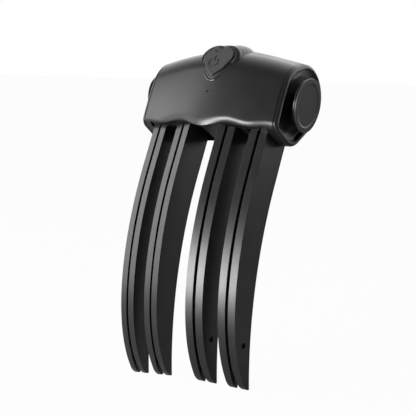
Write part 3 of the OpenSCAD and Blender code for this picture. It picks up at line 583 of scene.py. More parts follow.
@dataclass
class Head:
    """The form of the head: sections round four corners, drawn for each place along its length."""

    half: float = 38.2
    depth: float = 36.6
    height: float = 43.1
    base: float = 19.1
    front: float = 0.8
    bow: float = 6.0
    bow_power: float = 1.6
    middle_ease: float = 1.2
    ridge_rise: float = 4.5
    rise_power: float = 1.5
    brow_r: float = 16.8
    brow_drop: float = 2.9
    crown_r: float = 16.0
    chin_r: float = 4.5
    chin_rise: float = 0.7
    chin_arch: float = 1.6
    chin_wave: float = 1.1
    lobe_r: float = 9.0
    lobe_half: float = 7.0
    heel_r: float = 12.4
    heel_back: float = 14.1
    heel_bow: float = 2.0
    face_r: float = 150.0
    face_steps: int = 72
    arc_step: float = 0.4
    ring_count: int = 96
    ring_steps: int = 36
    outer_x: float = 28.0
    inner_x: float = 12.25
    wall: float = 1.8
    lip_rest: float = 0.3
    least_r: float = 0.4

    @property
    def top(self) -> float:
        """Height of the ends of the ridge."""
        return self.base + self.height

    def share(self, x: float) -> float:
        """How far out along its half of the head a place is, eased over the middle."""
        ease = self.middle_ease
        return (math.hypot(x, ease) - ease) / (math.hypot(self.half, ease) - ease)

    def bow_at(self, x: float) -> float:
        """How far the front stands forward of the ends of the head."""
        return -self.bow * (1 - self.share(x) ** self.bow_power)

    def back_bow_at(self, x: float) -> float:
        """The same for the back."""
        return -self.bow * (1 - (x / self.half) ** 2) ** 2

    def chin_r_at(self, x: float) -> float:
        """Radius of the lower front edge, larger on the middle lobe."""
        return self.chin_r + self.lobe_r * math.exp(-((x / self.lobe_half) ** 2))

    def chin_at(self, x: float) -> float:
        """Height of the lower front edge, which arches over each finger."""
        arch = self.chin_arch * math.sin(math.pi / 2 * min(1.0, abs(x) / self.outer_x)) ** 2
        wave = self.chin_wave * math.cos(math.pi * x / self.inner_x) * (1 - (x / self.half) ** 4)
        return self.chin_rise + arch - wave

    def lip_angle(self, x: float) -> float:
        """How far round the chin the front face goes before the lip turns inwards, in radians."""
        return math.acos(1.0 - (self.wall - self.lip_rest) / self.chin_r_at(x))

    def circles(self, x: float, inset: float) -> list[Circle]:
        """The corners of a section, each as the middle and radius of its circle.

        Args:
            x: the place of the section.
            inset: the distance of the section inside the outer face.

        Returns:
            The brow, the crown, the chin, the heel and the wide circle of the front face.
        """
        b = self.bow_at(x)
        up = self.ridge_rise * (1 - self.share(x) ** self.rise_power)
        back = self.back_bow_at(x)
        r = self.chin_r_at(x)
        low = self.base + self.chin_at(x) + r * math.sin(self.lip_angle(x))
        keep = max(0.0, inset + self.least_r - r)
        heel_y = self.front + self.heel_back + back * self.heel_bow / self.bow
        corners = [
            (self.front + self.brow_r + b, self.top - self.brow_drop - self.brow_r + up, self.brow_r),
            (self.front + self.depth - self.crown_r + back, self.top - self.crown_r + up, self.crown_r),
            (self.front + r + b + keep, low + keep, r),
            (heel_y, self.base + self.heel_r, self.heel_r),
        ]
        shrunk = [(y, z, max(self.least_r, radius - inset)) for y, z, radius in corners]
        face = self._face(corners[0], (self.front + r + b, low, r))
        return shrunk + [(face[0], face[1], face[2] - inset)]

    def _face(self, brow: Circle, chin: Circle) -> Circle:
        """The wide circle that touches the brow and the chin from outside."""
        a = self.face_r - brow[2]
        b = self.face_r - chin[2]
        span = math.dist(brow[:2], chin[:2])
        along = (a * a - b * b + span * span) / (2 * span)
        across = math.sqrt(a * a - along * along)
        uy, uz = (chin[0] - brow[0]) / span, (chin[1] - brow[1]) / span
        return (brow[0] + along * uy - across * uz, brow[1] + along * uz + across * uy, self.face_r)

    @staticmethod
    def face_span(circles: Sequence[Circle]) -> list[float]:
        """The directions between which the wide circle is the front face, in radians."""
        face = circles[4]
        return [math.atan2(k[1] - face[1], k[0] - face[0]) % (2 * math.pi) for k in (circles[0], circles[2])]

    def point(self, circles: Sequence[Circle], angle: float) -> Flat:
        """The point of a section that lies furthest in the direction of an angle from +Y, in radians."""
        c, s = math.cos(angle), math.sin(angle)
        start, end = self.face_span(circles)
        usable = [circles[4]] if start < angle < end else circles[:4]
        y, z, r = max(usable, key=lambda k: k[0] * c + k[1] * s + k[2])
        return (y + r * c, z + r * s)

    def arc(self, x: float, inset: float, start: float, end: float) -> list[Flat]:
        """The line of a section between two directions, given in degrees."""
        circles = self.circles(x, inset)
        turns = steps(start, end, max(1, round(abs(end - start) / self.arc_step)))
        low, high = min(start, end), max(start, end)
        face = [math.degrees(a) for a in self.face_span(circles)]
        fine = steps(face[0] + MERGE, face[1] - MERGE, self.face_steps)
        coarse = [a for a in turns if not face[0] < a < face[1]]
        turns = sorted(coarse + [a for a in fine if low <= a <= high], reverse=end < start)
        return [self.point(circles, math.radians(a)) for a in turns]

    def ring(self, x: float, inset: float, count: int) -> list[Point]:
        """A whole section, with its points at even angles."""
        circles = self.circles(x, inset)
        around = steps(0.0, 2 * math.pi, count)[:-1]
        return [(x, *self.point(circles, a)) for a in around]

    def solid(self, name: str, half: float, inset: float) -> Solid:
        """The head as one closed body, drawn in by an inset."""
        places = steps(-half, half, self.ring_steps)
        return Solid(name).loft([self.ring(x, inset, self.ring_count) for x in places])


def until(line: Sequence[Flat], y: float, rising: bool) -> list[Flat]:
    """Keeps a line up to the place where it crosses a plane of Y, and ends it there."""
    kept = [line[0]]
    for here, there in zip(line, line[1:]):
        if (here[0] < y <= there[0]) if rising else (here[0] > y >= there[0]):
            kept.append(mix(here, there, (y - here[0]) / (there[0] - here[0])))
            return kept
        kept.append(there)
    return kept


@dataclass
class Shells:
    """The two shells of the head, with their screw bosses and openings."""

    head: Head
    arc_from: float = 30.0
    arc_to: float = 330.0
    seam_y: float = 14.0
    seam_gap: float = 0.1
    half: float = 36.2
    edge: float = 0.3
    opening_half: float = 32.65
    slot_from: float = 20.35
    slot_back: float = 23.3
    opening_back: float = 19.8
    boss_r: float = 3.2
    boss_gap: float = 0.4
    bore_r: float = 1.4
    head_bore_r: float = 2.4
    high_screw: Flat = (28.6, 53.0)
    high_seat: float = 18.0
    low_screw_z: float = 30.1
    low_seat: float = 19.4
    light_z: float = 36.0
    bore_sides: int = 40
    port_points: int = 48
    light_r: float = 0.6
    light_hole: Flat = (-20.0, 4.0)
    past_back: float = 60.0
    port_from: float = 24.0
    port_w: float = 9.0
    port_h: float = 3.3
    port_z: float = 35.7
    port_gap: float = 0.55
    # Faces under the lip that slope down more than this, below this height, get painted shade
    lip_slope: float = -0.3
    lip_z: float = 26.0
    lip_corner: tuple[Flat, ...] = ((-0.3, 0.0), (-0.08, 0.1), (0.0, 0.4))
    points: int = 58
    extra: int = 10
    spacing: float = 0.9
    nudge: float = 0.001

    def stations(self) -> list[tuple[float, float, float]]:
        """Places of the sections as (x, side of a step, rounding of the end edge)."""
        count = round(2 * (self.half - self.edge) / self.spacing)
        inner = [(x, 0.0, 0.0) for x in steps(self.edge - self.half, self.half - self.edge, count)]
        for place in (self.opening_half, self.slot_from):
            for sign in (-1, 1):
                inner += [(sign * place, -self.nudge, 0.0), (sign * place, self.nudge, 0.0)]
        for inset, back in setbacks(self.edge, ROUNDING):
            inner += [(sign * (self.half - back), 0.0, inset) for sign in (-1, 1)]
        return sorted(inner, key=lambda s: s[0] + s[1] * (1 if s[0] > 0 else -1))

    def seam_edge(self, line: list[Flat]) -> list[Flat]:
        """Rounds the start of a line where it leaves the seam."""
        y, z = line[0]
        sign = 1 if line[-1][0] > y else -1
        arc = [(y, z - self.edge)]
        for across, down in setbacks(self.edge, ROUNDING):
            before = until(line, y + sign * across, sign > 0)
            arc.append((y + sign * across, before[-1][1] - down))
        return arc + line[len(before) - 1 :]

    def front_ring(self, x: float, nudge: float, rounding: float) -> list[Point]:
        """One section of the front shell, out along its outer face and back along its inner one."""
        head = self.head
        y = self.seam_y - self.seam_gap
        lip = 180.0 + math.degrees(head.lip_angle(x))
        outer = until(head.arc(x, rounding, self.arc_from, lip)[::-1], y, True)[::-1]
        inner = until(head.arc(x, head.wall, self.arc_from, 180.0)[::-1], y, True)[::-1]
        if abs(x) + nudge < self.opening_half:
            corner = [(inner[-1][0] + dy, outer[-1][1] + dz) for dy, dz in self.lip_corner]
            turn = resample([outer[-1]] + corner + [inner[-1]], 2 * self.extra)
            under, over = turn[: self.extra], turn[self.extra :]
        else:
            under = resample(until(head.arc(x, rounding, lip, self.arc_to), y, True), self.extra)
            over = resample(until(head.arc(x, head.wall, 180.0, self.arc_to), y, True), self.extra)[::-1]
        path = resample(self.seam_edge(outer), self.points) + under
        back = over + resample(inner, self.points)[::-1]
        return [(x, p[0], p[1]) for p in path + back]

    def rear_ring(self, x: float, nudge: float, rounding: float) -> list[Point]:
        """One section of the rear shell."""
        head = self.head
        y = self.seam_y + self.seam_gap
        ends = [self.slot_back, self.opening_back, y]
        place = abs(x) + nudge
        reach = 1 if place < self.slot_from else 0 if place < self.opening_half else 2
        lines = []
        for inset in (rounding, head.wall):
            top = self._from_top(head.arc(x, inset, 180.0 - self.arc_from, self.arc_from - 180.0), y)
            first = until(top, ends[0], False)
            line = resample(self.seam_edge(first) if inset == rounding else first, self.points)
            for i, (start, end) in enumerate(zip(ends, ends[1:])):
                if i < reach:
                    line += resample(self._between(top, start, end), self.extra // 2)
                else:
                    line += [line[-1]] * (self.extra // 2)
            lines.append(line)
        return [(x, p[0], p[1]) for p in lines[0] + lines[1][::-1]]

    @staticmethod
    def _from_top(arc: list[Flat], y: float) -> list[Flat]:
        """The part of a section from its upper crossing of the seam on."""
        for i, (here, there) in enumerate(zip(arc, arc[1:])):
            if here[0] < y <= there[0]:
                return [mix(here, there, (y - here[0]) / (there[0] - here[0]))] + arc[i + 1 :]
        return arc

    @staticmethod
    def _between(line: list[Flat], start: float, end: float) -> list[Flat]:
        """The part of a line between two planes of Y on its way back."""
        whole = until(line, end, False)
        first = until(line, start, False)
        return [first[-1]] + whole[len(first) - 1 :]

    def screws(self) -> list[Flat]:
        """Places of the three shell screws as (x, z)."""
        x, z = self.high_screw
        return [(-x, z), (x, z), (0.0, self.low_screw_z)]

    def make(self, workshop: Workshop, boss: Solid) -> None:
        """Builds both shells.

        Args:
            workshop: places and dresses them.
            boss: the outline of the raised bezel, which is cut out of the front shell.
        """
        rings = self.stations()
        front = Solid("front_shell_skin").cover([self.front_ring(*s) for s in rings])
        front.apply(boss, Part.CUT)
        start, end = [(0, y, self.light_z) for y in self.light_hole]
        front.apply(Solid("hole").tube(start, end, self.light_r), Part.CUT)
        # Painted shade: downward faces under the lip take the near-black second finish
        for face in front.mesh.polygons:
            under = face.normal.z < self.lip_slope and face.center.z < self.lip_z
            face.material_index = 1 if under else 0
        workshop.finish(front, SHELL, "housing", ["front_shell"], PAINTED_SHADE_BLACK)
        rear = Solid("rear_shell_skin").cover([self.rear_ring(*s) for s in rings])
        posts = Solid("posts")
        for x, z in self.screws():
            posts.tube((x, self.seam_y + self.boss_gap, z), (x, self.back_wall(x, z), z), self.boss_r)
        rear.apply(posts, Part.JOIN)
        bores = Solid("bores")
        for (x, z), seat in zip(self.screws(), (self.high_seat, self.high_seat, self.low_seat)):
            place = Matrix.Translation((x, 0, z)) @ rotation(-90, "X")
            bores.take(Solid("bore").lathe(self.bore_profile(seat), self.bore_sides).place(place))
        bores.take(self.port_cut())
        rear.apply(bores, Part.CUT)
        workshop.finish(rear, SHELL, "housing", ["rear_shell"])

    def back_wall(self, x: float, z: float) -> float:
        """Where a boss meets the middle of the back wall."""
        arc = self.head.arc(x, self.head.wall / 2, 90.0, -90.0)
        for here, there in zip(arc, arc[1:]):
            if there[1] <= z <= here[1]:
                return mix(here, there, (here[1] - z) / (here[1] - there[1]))[0]
        return self.head.depth - self.head.wall

    def bore_profile(self, seat: float) -> list[Flat]:
        """A screw hole and its counterbore, as (radius, depth)."""
        wide = self.head_bore_r
        return [(self.bore_r, 0.0), (self.bore_r, seat), (wide, seat), (wide, self.past_back)]

    def port_cut(self) -> Solid:
        """The flat oval hole of the charging socket."""
        r = self.port_h / 2 + self.port_gap
        half = (self.port_w - self.port_h) / 2
        ring = [(math.copysign(half, x) + x, z) for x, z in circle(r, self.port_points)]
        rows = [[(x, y, self.port_z + z) for x, z in ring] for y in (self.port_from, self.past_back)]
        return Solid("port_cut").loft(rows)


@dataclass
class EndRing:
    """An end of the head: a rounded rim and the bowl down to the floor under the end button."""

    head: Head
    side: Side
    width: float = 1.8
    lip: float = 2.0
    lip_round: float = 0.35
    rim_steps: int = 7
    spigot_x: float = 34.0
    spigot_in: float = 2.0
    spigot_t: float = 0.8
    edge: float = 0.3
    cavity_r: float = 13.45
    floor_depth: float = 5.7
    bore_r: float = 6.06
    disc_r: float = 11.0
    floor_back: float = 6.6
    window: tuple[Point, Point] = ((35.1, 2.9, 26.0), (39.0, 7.0, 37.6))
    # Painted shade in the bowl: which faces take the near-black second finish, and how far inside the lip it
    # starts
    dark_from: float = 0.25
    dark_in: float = 0.05
    bowl_steps: int = 12
    bowl_fall: float = 2.6
    bowl_reach: float = 1.5
    count: int = 144
    rough_count: int = 48

    def disc(self, radius: float, depth: float) -> list[Point]:
        """A ring about the axis of the end button, at a depth behind its face."""
        place = EndButton(self.side).matrix
        return [tuple(place @ Vector((-y, x, -depth))) for x, y in circle(radius, self.count)]

    def rings(self) -> list[list[Point]]:
        """The rings of the right hand end, from the spigot over the rim and down the bowl."""
        half = self.head.half
        start = half - self.width
        places = [(self.spigot_x, self.spigot_in), (start, self.spigot_in)]
        places += [(start + along, inset) for along, inset in setbacks(self.edge, (0.0, *ROUNDING))]
        rim = setbacks(self.width - self.edge, steps(0.0, 90.0, self.rim_steps)[1:])
        places += [(half - along, inset) for inset, along in rim]
        places += [(half - along, self.lip - back) for along, back in setbacks(self.lip_round, ROUNDING)]
        rows = [self.head.ring(x, inset, self.count) for x, inset in places]
        mouth = rows[-1]
        bottom = self.disc(self.cavity_r, self.floor_depth)
        for t in steps(0.0, 1.0, self.bowl_steps)[1:]:
            deep = 1 - (1 - t) ** self.bowl_fall
            across = t ** self.bowl_reach
            rows.append([(mix(a, b, deep)[0], *mix(a, b, across)[1:]) for a, b in zip(mouth, bottom)])
        rows += [self.disc(radius, self.floor_depth) for radius in (self.disc_r, self.bore_r)]
        rows += [self.disc(radius, self.floor_back) for radius in (self.bore_r, self.disc_r)]
        rows.append(self.head.ring(self.spigot_x, self.spigot_in + self.spigot_t, self.count))
        return rows

    def make(self, workshop: Workshop) -> None:
        """Builds the ring, opens the window in its bowl and places it."""
        word = self.side.word
        solid = Solid(f"end_ring_{word}_body").loft(self.rings(), loop=True)
        low, high = self.window
        solid.apply(Solid("window").block(low, high), Part.CUT)
        # Painted shade over the bowl and its window
        self.darken(solid)
        if self.side is Side.LEFT:
            solid.place(MIRROR)
        workshop.finish(solid, RING, "housing", [f"end_ring_{word}"], PAINTED_SHADE_BLACK)

    def darken(self, solid: Solid) -> None:
        """Paints shade on the faces inside the rim with the near-black second finish, apart from the front
        wall of the bowl.
        """
        limit = self.head.half - self.lip_round - self.dark_in
        for face in solid.mesh.polygons:
            inside = self._inside(face.center) and face.center.x < limit
            face.material_index = 1 if inside and face.normal.y < self.dark_from else 0

    def _inside(self, point: Vector) -> bool:
        """Whether a point lies within the lip, seen along the head."""
        y, z = point.y, point.z
        ring = self.head.ring(self.head.half, self.lip - self.dark_in, self.rough_count)
        inside = False
        for a, b in zip(ring, ring[1:] + ring[:1]):
            if (a[2] > z) != (b[2] > z) and y < (b[1] - a[1]) * (z - a[2]) / (b[2] - a[2]) + a[1]:
                inside = not inside
        return inside


@dataclass
class EndButton:
    """A round end button: a flanged plunger and the dished cap on its face."""

    side: Side
    face_x: float = 41.8
    y: float = 18.6
    z: float = 41.0
    yaw: float = 4.6
    dip: float = 5.3
    radius: float = 13.1
    cap_t: float = 0.6
    groove_t: float = 0.6
    flange_t: float = 1.0
    flange_r: float = 12.5
    groove_r: float = 11.6
    dish_r: float = 10.4
    dish_ease: float = 0.9
    dish_depth: float = 0.28
    neck_r: float = 6.0
    clip_top: float = 6.8
    clip_t: float = 0.8
    clip_bite: float = 0.6
    neck_end: float = 8.4
    nose_r: float = 3.0
    nose_end: float = 10.6
    edge: float = 0.25
    flange_edge: float = 0.07
    cap_edge: float = 0.1
    dish_sag: Flat = (0.04, 0.05)
    dish_steps: int = 6
    sides: int = 128

    @property
    def matrix(self) -> Matrix:
        """The frame of the right hand button, with Z out of its face."""
        turn = rotation(self.yaw, "Z") @ rotation(self.dip, "Y")
        return Matrix.Translation((self.face_x, self.y, self.z)) @ turn @ rotation(90, "Y")

    def cap(self) -> list[Flat]:
        """Profile of the cap: a soft edge, a flat rim and a shallow dish."""
        r, back = self.radius, -self.cap_t
        rows = [(0.0, back), (r - self.cap_edge, back), (r, back + self.cap_edge)]
        rows += [(r - inset, -down) for inset, down in setbacks(self.edge, steps(0.0, 90.0, CORNER_STEPS))]
        for t in steps(0.0, 1.0, self.dish_steps):
            fall = (1 - math.cos(math.pi * t)) / 2
            rows.append((self.dish_r + self.dish_ease * (0.5 - t), -self.dish_depth * fall))
        half, middle = self.dish_sag
        return rows + [(self.dish_r / 2, -self.dish_depth - half), (0.0, -self.dish_depth - middle)]

    def plunger(self) -> list[Flat]:
        """Profile of the plunger behind the cap."""
        low = -self.cap_t - self.groove_t
        back = low - self.flange_t
        wide, neck = self.flange_r, self.neck_r
        bitten = neck - self.clip_bite
        clip, clip_end = -self.clip_top, -self.clip_top - self.clip_t
        e, soft = self.edge, self.flange_edge
        return [
            (0.0, -self.cap_t), (self.groove_r, -self.cap_t), (self.groove_r, low),
            (wide - e, low), (wide - soft, low - soft), (wide, low - e),
            (wide, back + e), (wide - soft, back + soft), (wide - e, back), (neck, back),
            (neck, clip), (bitten, clip), (bitten, clip_end), (neck, clip_end), (neck, -self.neck_end),
            (self.nose_r, -self.neck_end), (self.nose_r, -self.nose_end), (0.0, -self.nose_end),
        ]

    def make(self, workshop: Workshop) -> None:
        """Builds the cap and the plunger."""
        word = self.side.word
        place = self.matrix
        if self.side is Side.LEFT:
            place = MIRROR @ place
        body = f"{word}_button"
        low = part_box(f"button_{word}")
        log.info("%s button spans %.1f mm along the head", word, (low[1].x - low[0].x) / MM)
        cap = Solid(f"cap_{word}_disc").lathe(self.cap(), self.sides).place(place)
        workshop.finish(cap, BUTTON, body, [f"cap_{word}"])
        plunger = Solid(f"button_{word}_plunger").lathe(self.plunger(), self.sides).place(place)
        workshop.finish(plunger, RING, body, [f"button_{word}"])


@dataclass
class HeartButton:
    """The heart-shaped power button, its engraved mark and the boss that it sits on."""

    head: Head
    width: float = 15.7
    y: float = 5.1
    z: float = 52.4
    tilt: float = 12.0
    lobe_r: float = 4.9
    lobe_y: float = 3.1
    cheek: Point = (1.2, -0.9, 4.7)
    point_y: float = -6.8
    point_r: float = 1.5
    face_t: float = 1.2
    flange: float = 1.3
    flange_t: float = 0.8
    press: float = 0.6
    gap: float = 0.2
    flange_edge: float = 0.1
    skirt: float = -0.8
    skirt_gap: float = 0.25
    skirt_depth: float = 1.6
    hole: Flat = (-40.0, 5.0)
    stem_r: float = 1.6
    stem_end: float = 5.6
    boss_edge: float = 0.5
    cut_slack: float = 0.1
    collar_top: float = -1.25
    collar_flat: float = 0.4
    collar_edge: float = 0.1
    collar_sink: float = 0.4
    collar_over: float = 0.3
    rim: float = 2.9
    flare: float = 0.6
    fade: float = 4.0
    lift: float = 7.2
    depth: float = 12.0
    reach: float = 13.0
    edge: float = 0.3
    mark_r: float = 2.9
    mark_w: float = 0.85
    mark_at: Flat = (-1.2, -0.8)
    mark_open: float = 42.0
    mark_depth: float = 0.35
    mark_top: float = 1.0
    bar_from: float = 0.9
    bar_past: float = 1.2
    dash: tuple[Flat, Flat] = ((-3.0, 6.5), (-1.5, 5.2))
    dash_reach: float = 1.3
    # Sides of the button steeper than this slope get painted shade
    dark_slope: float = 0.3
    skin: float = 0.02
    mark_reach: float = 0.1
    cleft_reach: float = 2.0
    past_lobe: float = 200.0
    fine: int = 240
    count: int = 132
    turn_weight: float = 3.0
    mark_steps: int = 40
    boss_steps: int = 22
    collar_steps: int = 8

    @property
    def matrix(self) -> Matrix:
        """The frame of the button, with X across it, Y up its face and Z out of it."""
        return Matrix.Translation((0, -self.y, self.z)) @ rotation(90 - self.tilt, "X")

    @property
    def top(self) -> float:
        """Depth of the boss behind the face of the button."""
        return self.face_t + self.flange_t + self.press + self.gap

    def right_half(self, grow: float, lift: float) -> list[Circle]:
        """The circles that the right half of the heart is drawn round."""
        x = self.width / 2 - self.lobe_r
        return [
            (x, self.lobe_y + lift, self.lobe_r + grow),
            (self.cheek[0], self.cheek[1] + lift, self.cheek[2] + grow),
            (0.0, self.point_y + lift, self.point_r + grow),
        ]

    def outline(self, grow: float, lift: float = 0.0, whole: bool = False) -> list[Flat]:
        """The outline of the heart.

        Args:
            grow: how far it lies outside the outline of the face.
            lift: how far it is moved up.
            whole: bridges the cleft between the lobes.

        Returns:
            Points round the outline, from the tip over the right lobe and back.
        """
        circles = self.right_half(grow, lift)
        if whole:
            circles += [(-x, y, r) for x, y, r in circles]
        line = []
        for a in steps(-90.0, 90.0 if whole else self.past_lobe, self.fine):
            turn = math.radians(a)
            x, y, r = max(circles, key=lambda k: k[0] * math.cos(turn) + k[1] * math.sin(turn) + k[2])
            line.append((x + r * math.cos(turn), y + r * math.sin(turn)))
        half = [line[0]]
        for here, there in zip(line, line[1:]):
            if here[0] > 0 >= there[0] and here[1] > self.lobe_y + lift - self.cleft_reach:
                half.append(mix(here, there, here[0] / (here[0] - there[0])))
                break
            half.append(there)
        if whole:
            half[-1] = (0.0, half[-1][1])
        half = resample(half, self.count // 2 + 1, self.turn_weight)
        return half + [(-x, y) for x, y in half[-2:0:-1]]

    def level(self, grow: float, height: float) -> list[Point]:
        """The outline of the heart as a ring at a height."""
        return [(x, y, height) for x, y in self.outline(grow)]

    def round(self, radius: float, height: float) -> list[Point]:
        """A circle with as many points as the heart."""
        return [(x, y, height) for x, y in circle(radius, self.count, -math.pi / 2)]

    def key(self) -> Solid:
        """The button itself: face, flange, skirt and stem."""
        soft = setbacks(self.edge, steps(90.0, 0.0, CORNER_STEPS))
        step = -self.face_t
        low = step - self.flange_t
        end = -self.top - self.skirt_depth
        levels = [(-inset, -down) for inset, down in soft] + [(0.0, step)]
        levels += [(self.flange - inset, step - down) for inset, down in soft]
        levels += [(self.flange, low + self.flange_edge), (self.flange - self.flange_edge, low)]
        levels += [(self.skirt, low), (self.skirt, end)]
        rows = [self.level(grow, height) for grow, height in levels]
        rows += [self.round(self.stem_r, height) for height in (end, -self.stem_end)]
        return Solid("power_button_heart").loft(rows)

    def mark(self) -> Solid:
        """The tool that engraves the power mark."""
        made = Solid("mark")
        span = (-self.mark_depth, self.mark_top)
        cx, cy = self.mark_at
        way_round = steps(90 + self.mark_open, 450 - self.mark_open, self.mark_steps)
        turns = [math.radians(a) for a in way_round]
        ring = [(cx + self.mark_r * math.cos(a), cy + self.mark_r * math.sin(a)) for a in turns]
        near = self.mark_r - self.mark_w
        ring += [(cx + near * math.cos(a), cy + near * math.sin(a)) for a in reversed(turns)]
        made.cover([[(x, y, z) for x, y in ring] for z in span])
        bar = ((cx, cy + self.bar_from), (cx, cy + self.mark_r + self.bar_past))
        for start, end in (bar, self.dash):
            start, end = Vector(start), Vector(end)
            across = (end - start).orthogonal().normalized() * (self.mark_w / 2)
            corners = [start + across, start - across, end - across, end + across]
            made.prism([(p.x, p.y) for p in corners], *span)
        return made

    def boss_ring(self, depth: float, grow: float = 0.0) -> list[Point]:
        """A ring of the boss at a depth below its top."""
        rim = self.rim + self.flare * math.sqrt(min(1.0, max(0.0, depth) / self.fade)) + grow
        lift = self.lift * math.sin(math.pi / 2 * min(1.0, max(0.0, depth) / self.depth))
        return [(x, y, -self.top - depth) for x, y in self.outline(rim, lift)]

    def boss(self, name: str, grow: float) -> Solid:
        """The boss as a closed body, with a soft upper edge."""
        soft = setbacks(self.boss_edge, steps(90.0, 0.0, CORNER_STEPS))
        rows = [self.boss_ring(down, grow - inset) for inset, down in soft]
        rows += [self.boss_ring(d, grow) for d in steps(self.boss_edge, self.depth, self.boss_steps)[1:]]
        return Solid(name).loft(rows)

    def collar(self) -> Solid:
        """The rounded collar that stands round the flange of the button."""
        near, top, low = self.flange + self.skirt_gap, self.collar_top, -self.top - self.collar_sink
        soft = self.collar_edge
        levels = [(near, low), (near, top - soft), (near + soft, top)]
        start, end = near + self.collar_flat, self.rim + self.collar_over
        for a in steps(0.0, 90.0, self.collar_steps):
            turn = math.radians(a)
            fall = (low - top) * (1 - math.cos(turn))
            levels.append((start + (end - start) * math.sin(turn), top + fall))
        return Solid("collar").loft([self.level(grow, height) for grow, height in levels], loop=True)

    def make(self, workshop: Workshop) -> None:
        """Builds the boss and the button."""
        bezel = self.boss("button_bezel_boss", 0.0).apply(self.collar(), Part.JOIN)
        bezel.place(self.matrix)
        bezel.apply(self.head.solid("inside", self.reach, self.head.wall), Part.CUT)
        hole = Solid("hole").prism(self.outline(self.skirt + self.skirt_gap), *self.hole)
        bezel.apply(hole.place(self.matrix), Part.CUT)
        workshop.finish(bezel, SHELL, "housing", ["button_bezel"])
        key = self.key().apply(self.mark(), Part.CUT)
        # Painted shade on the button's sides, and a near-black floor in its mark
        self.darken(key)
        workshop.finish(key.place(self.matrix), KEY, "power_button", ["power_button"], MARK_AND_SHADE_BLACK)

    def darken(self, key: Solid) -> None:
        """Paints shade on the steep sides of the button, and makes the floor of its mark near-black."""
        for face in key.mesh.polygons:
            sunk = self.skin < -face.center.z < self.mark_depth + self.skin
            inside = math.dist(face.center.xy, self.mark_at) < self.mark_r + self.mark_reach
            dash = math.dist(face.center.xy, mix(*self.dash, 0.5)) < self.dash_reach
            steep = abs(face.normal.z) < self.dark_slope
            face.material_index = 1 if steep or sunk and (inside or dash) else 0


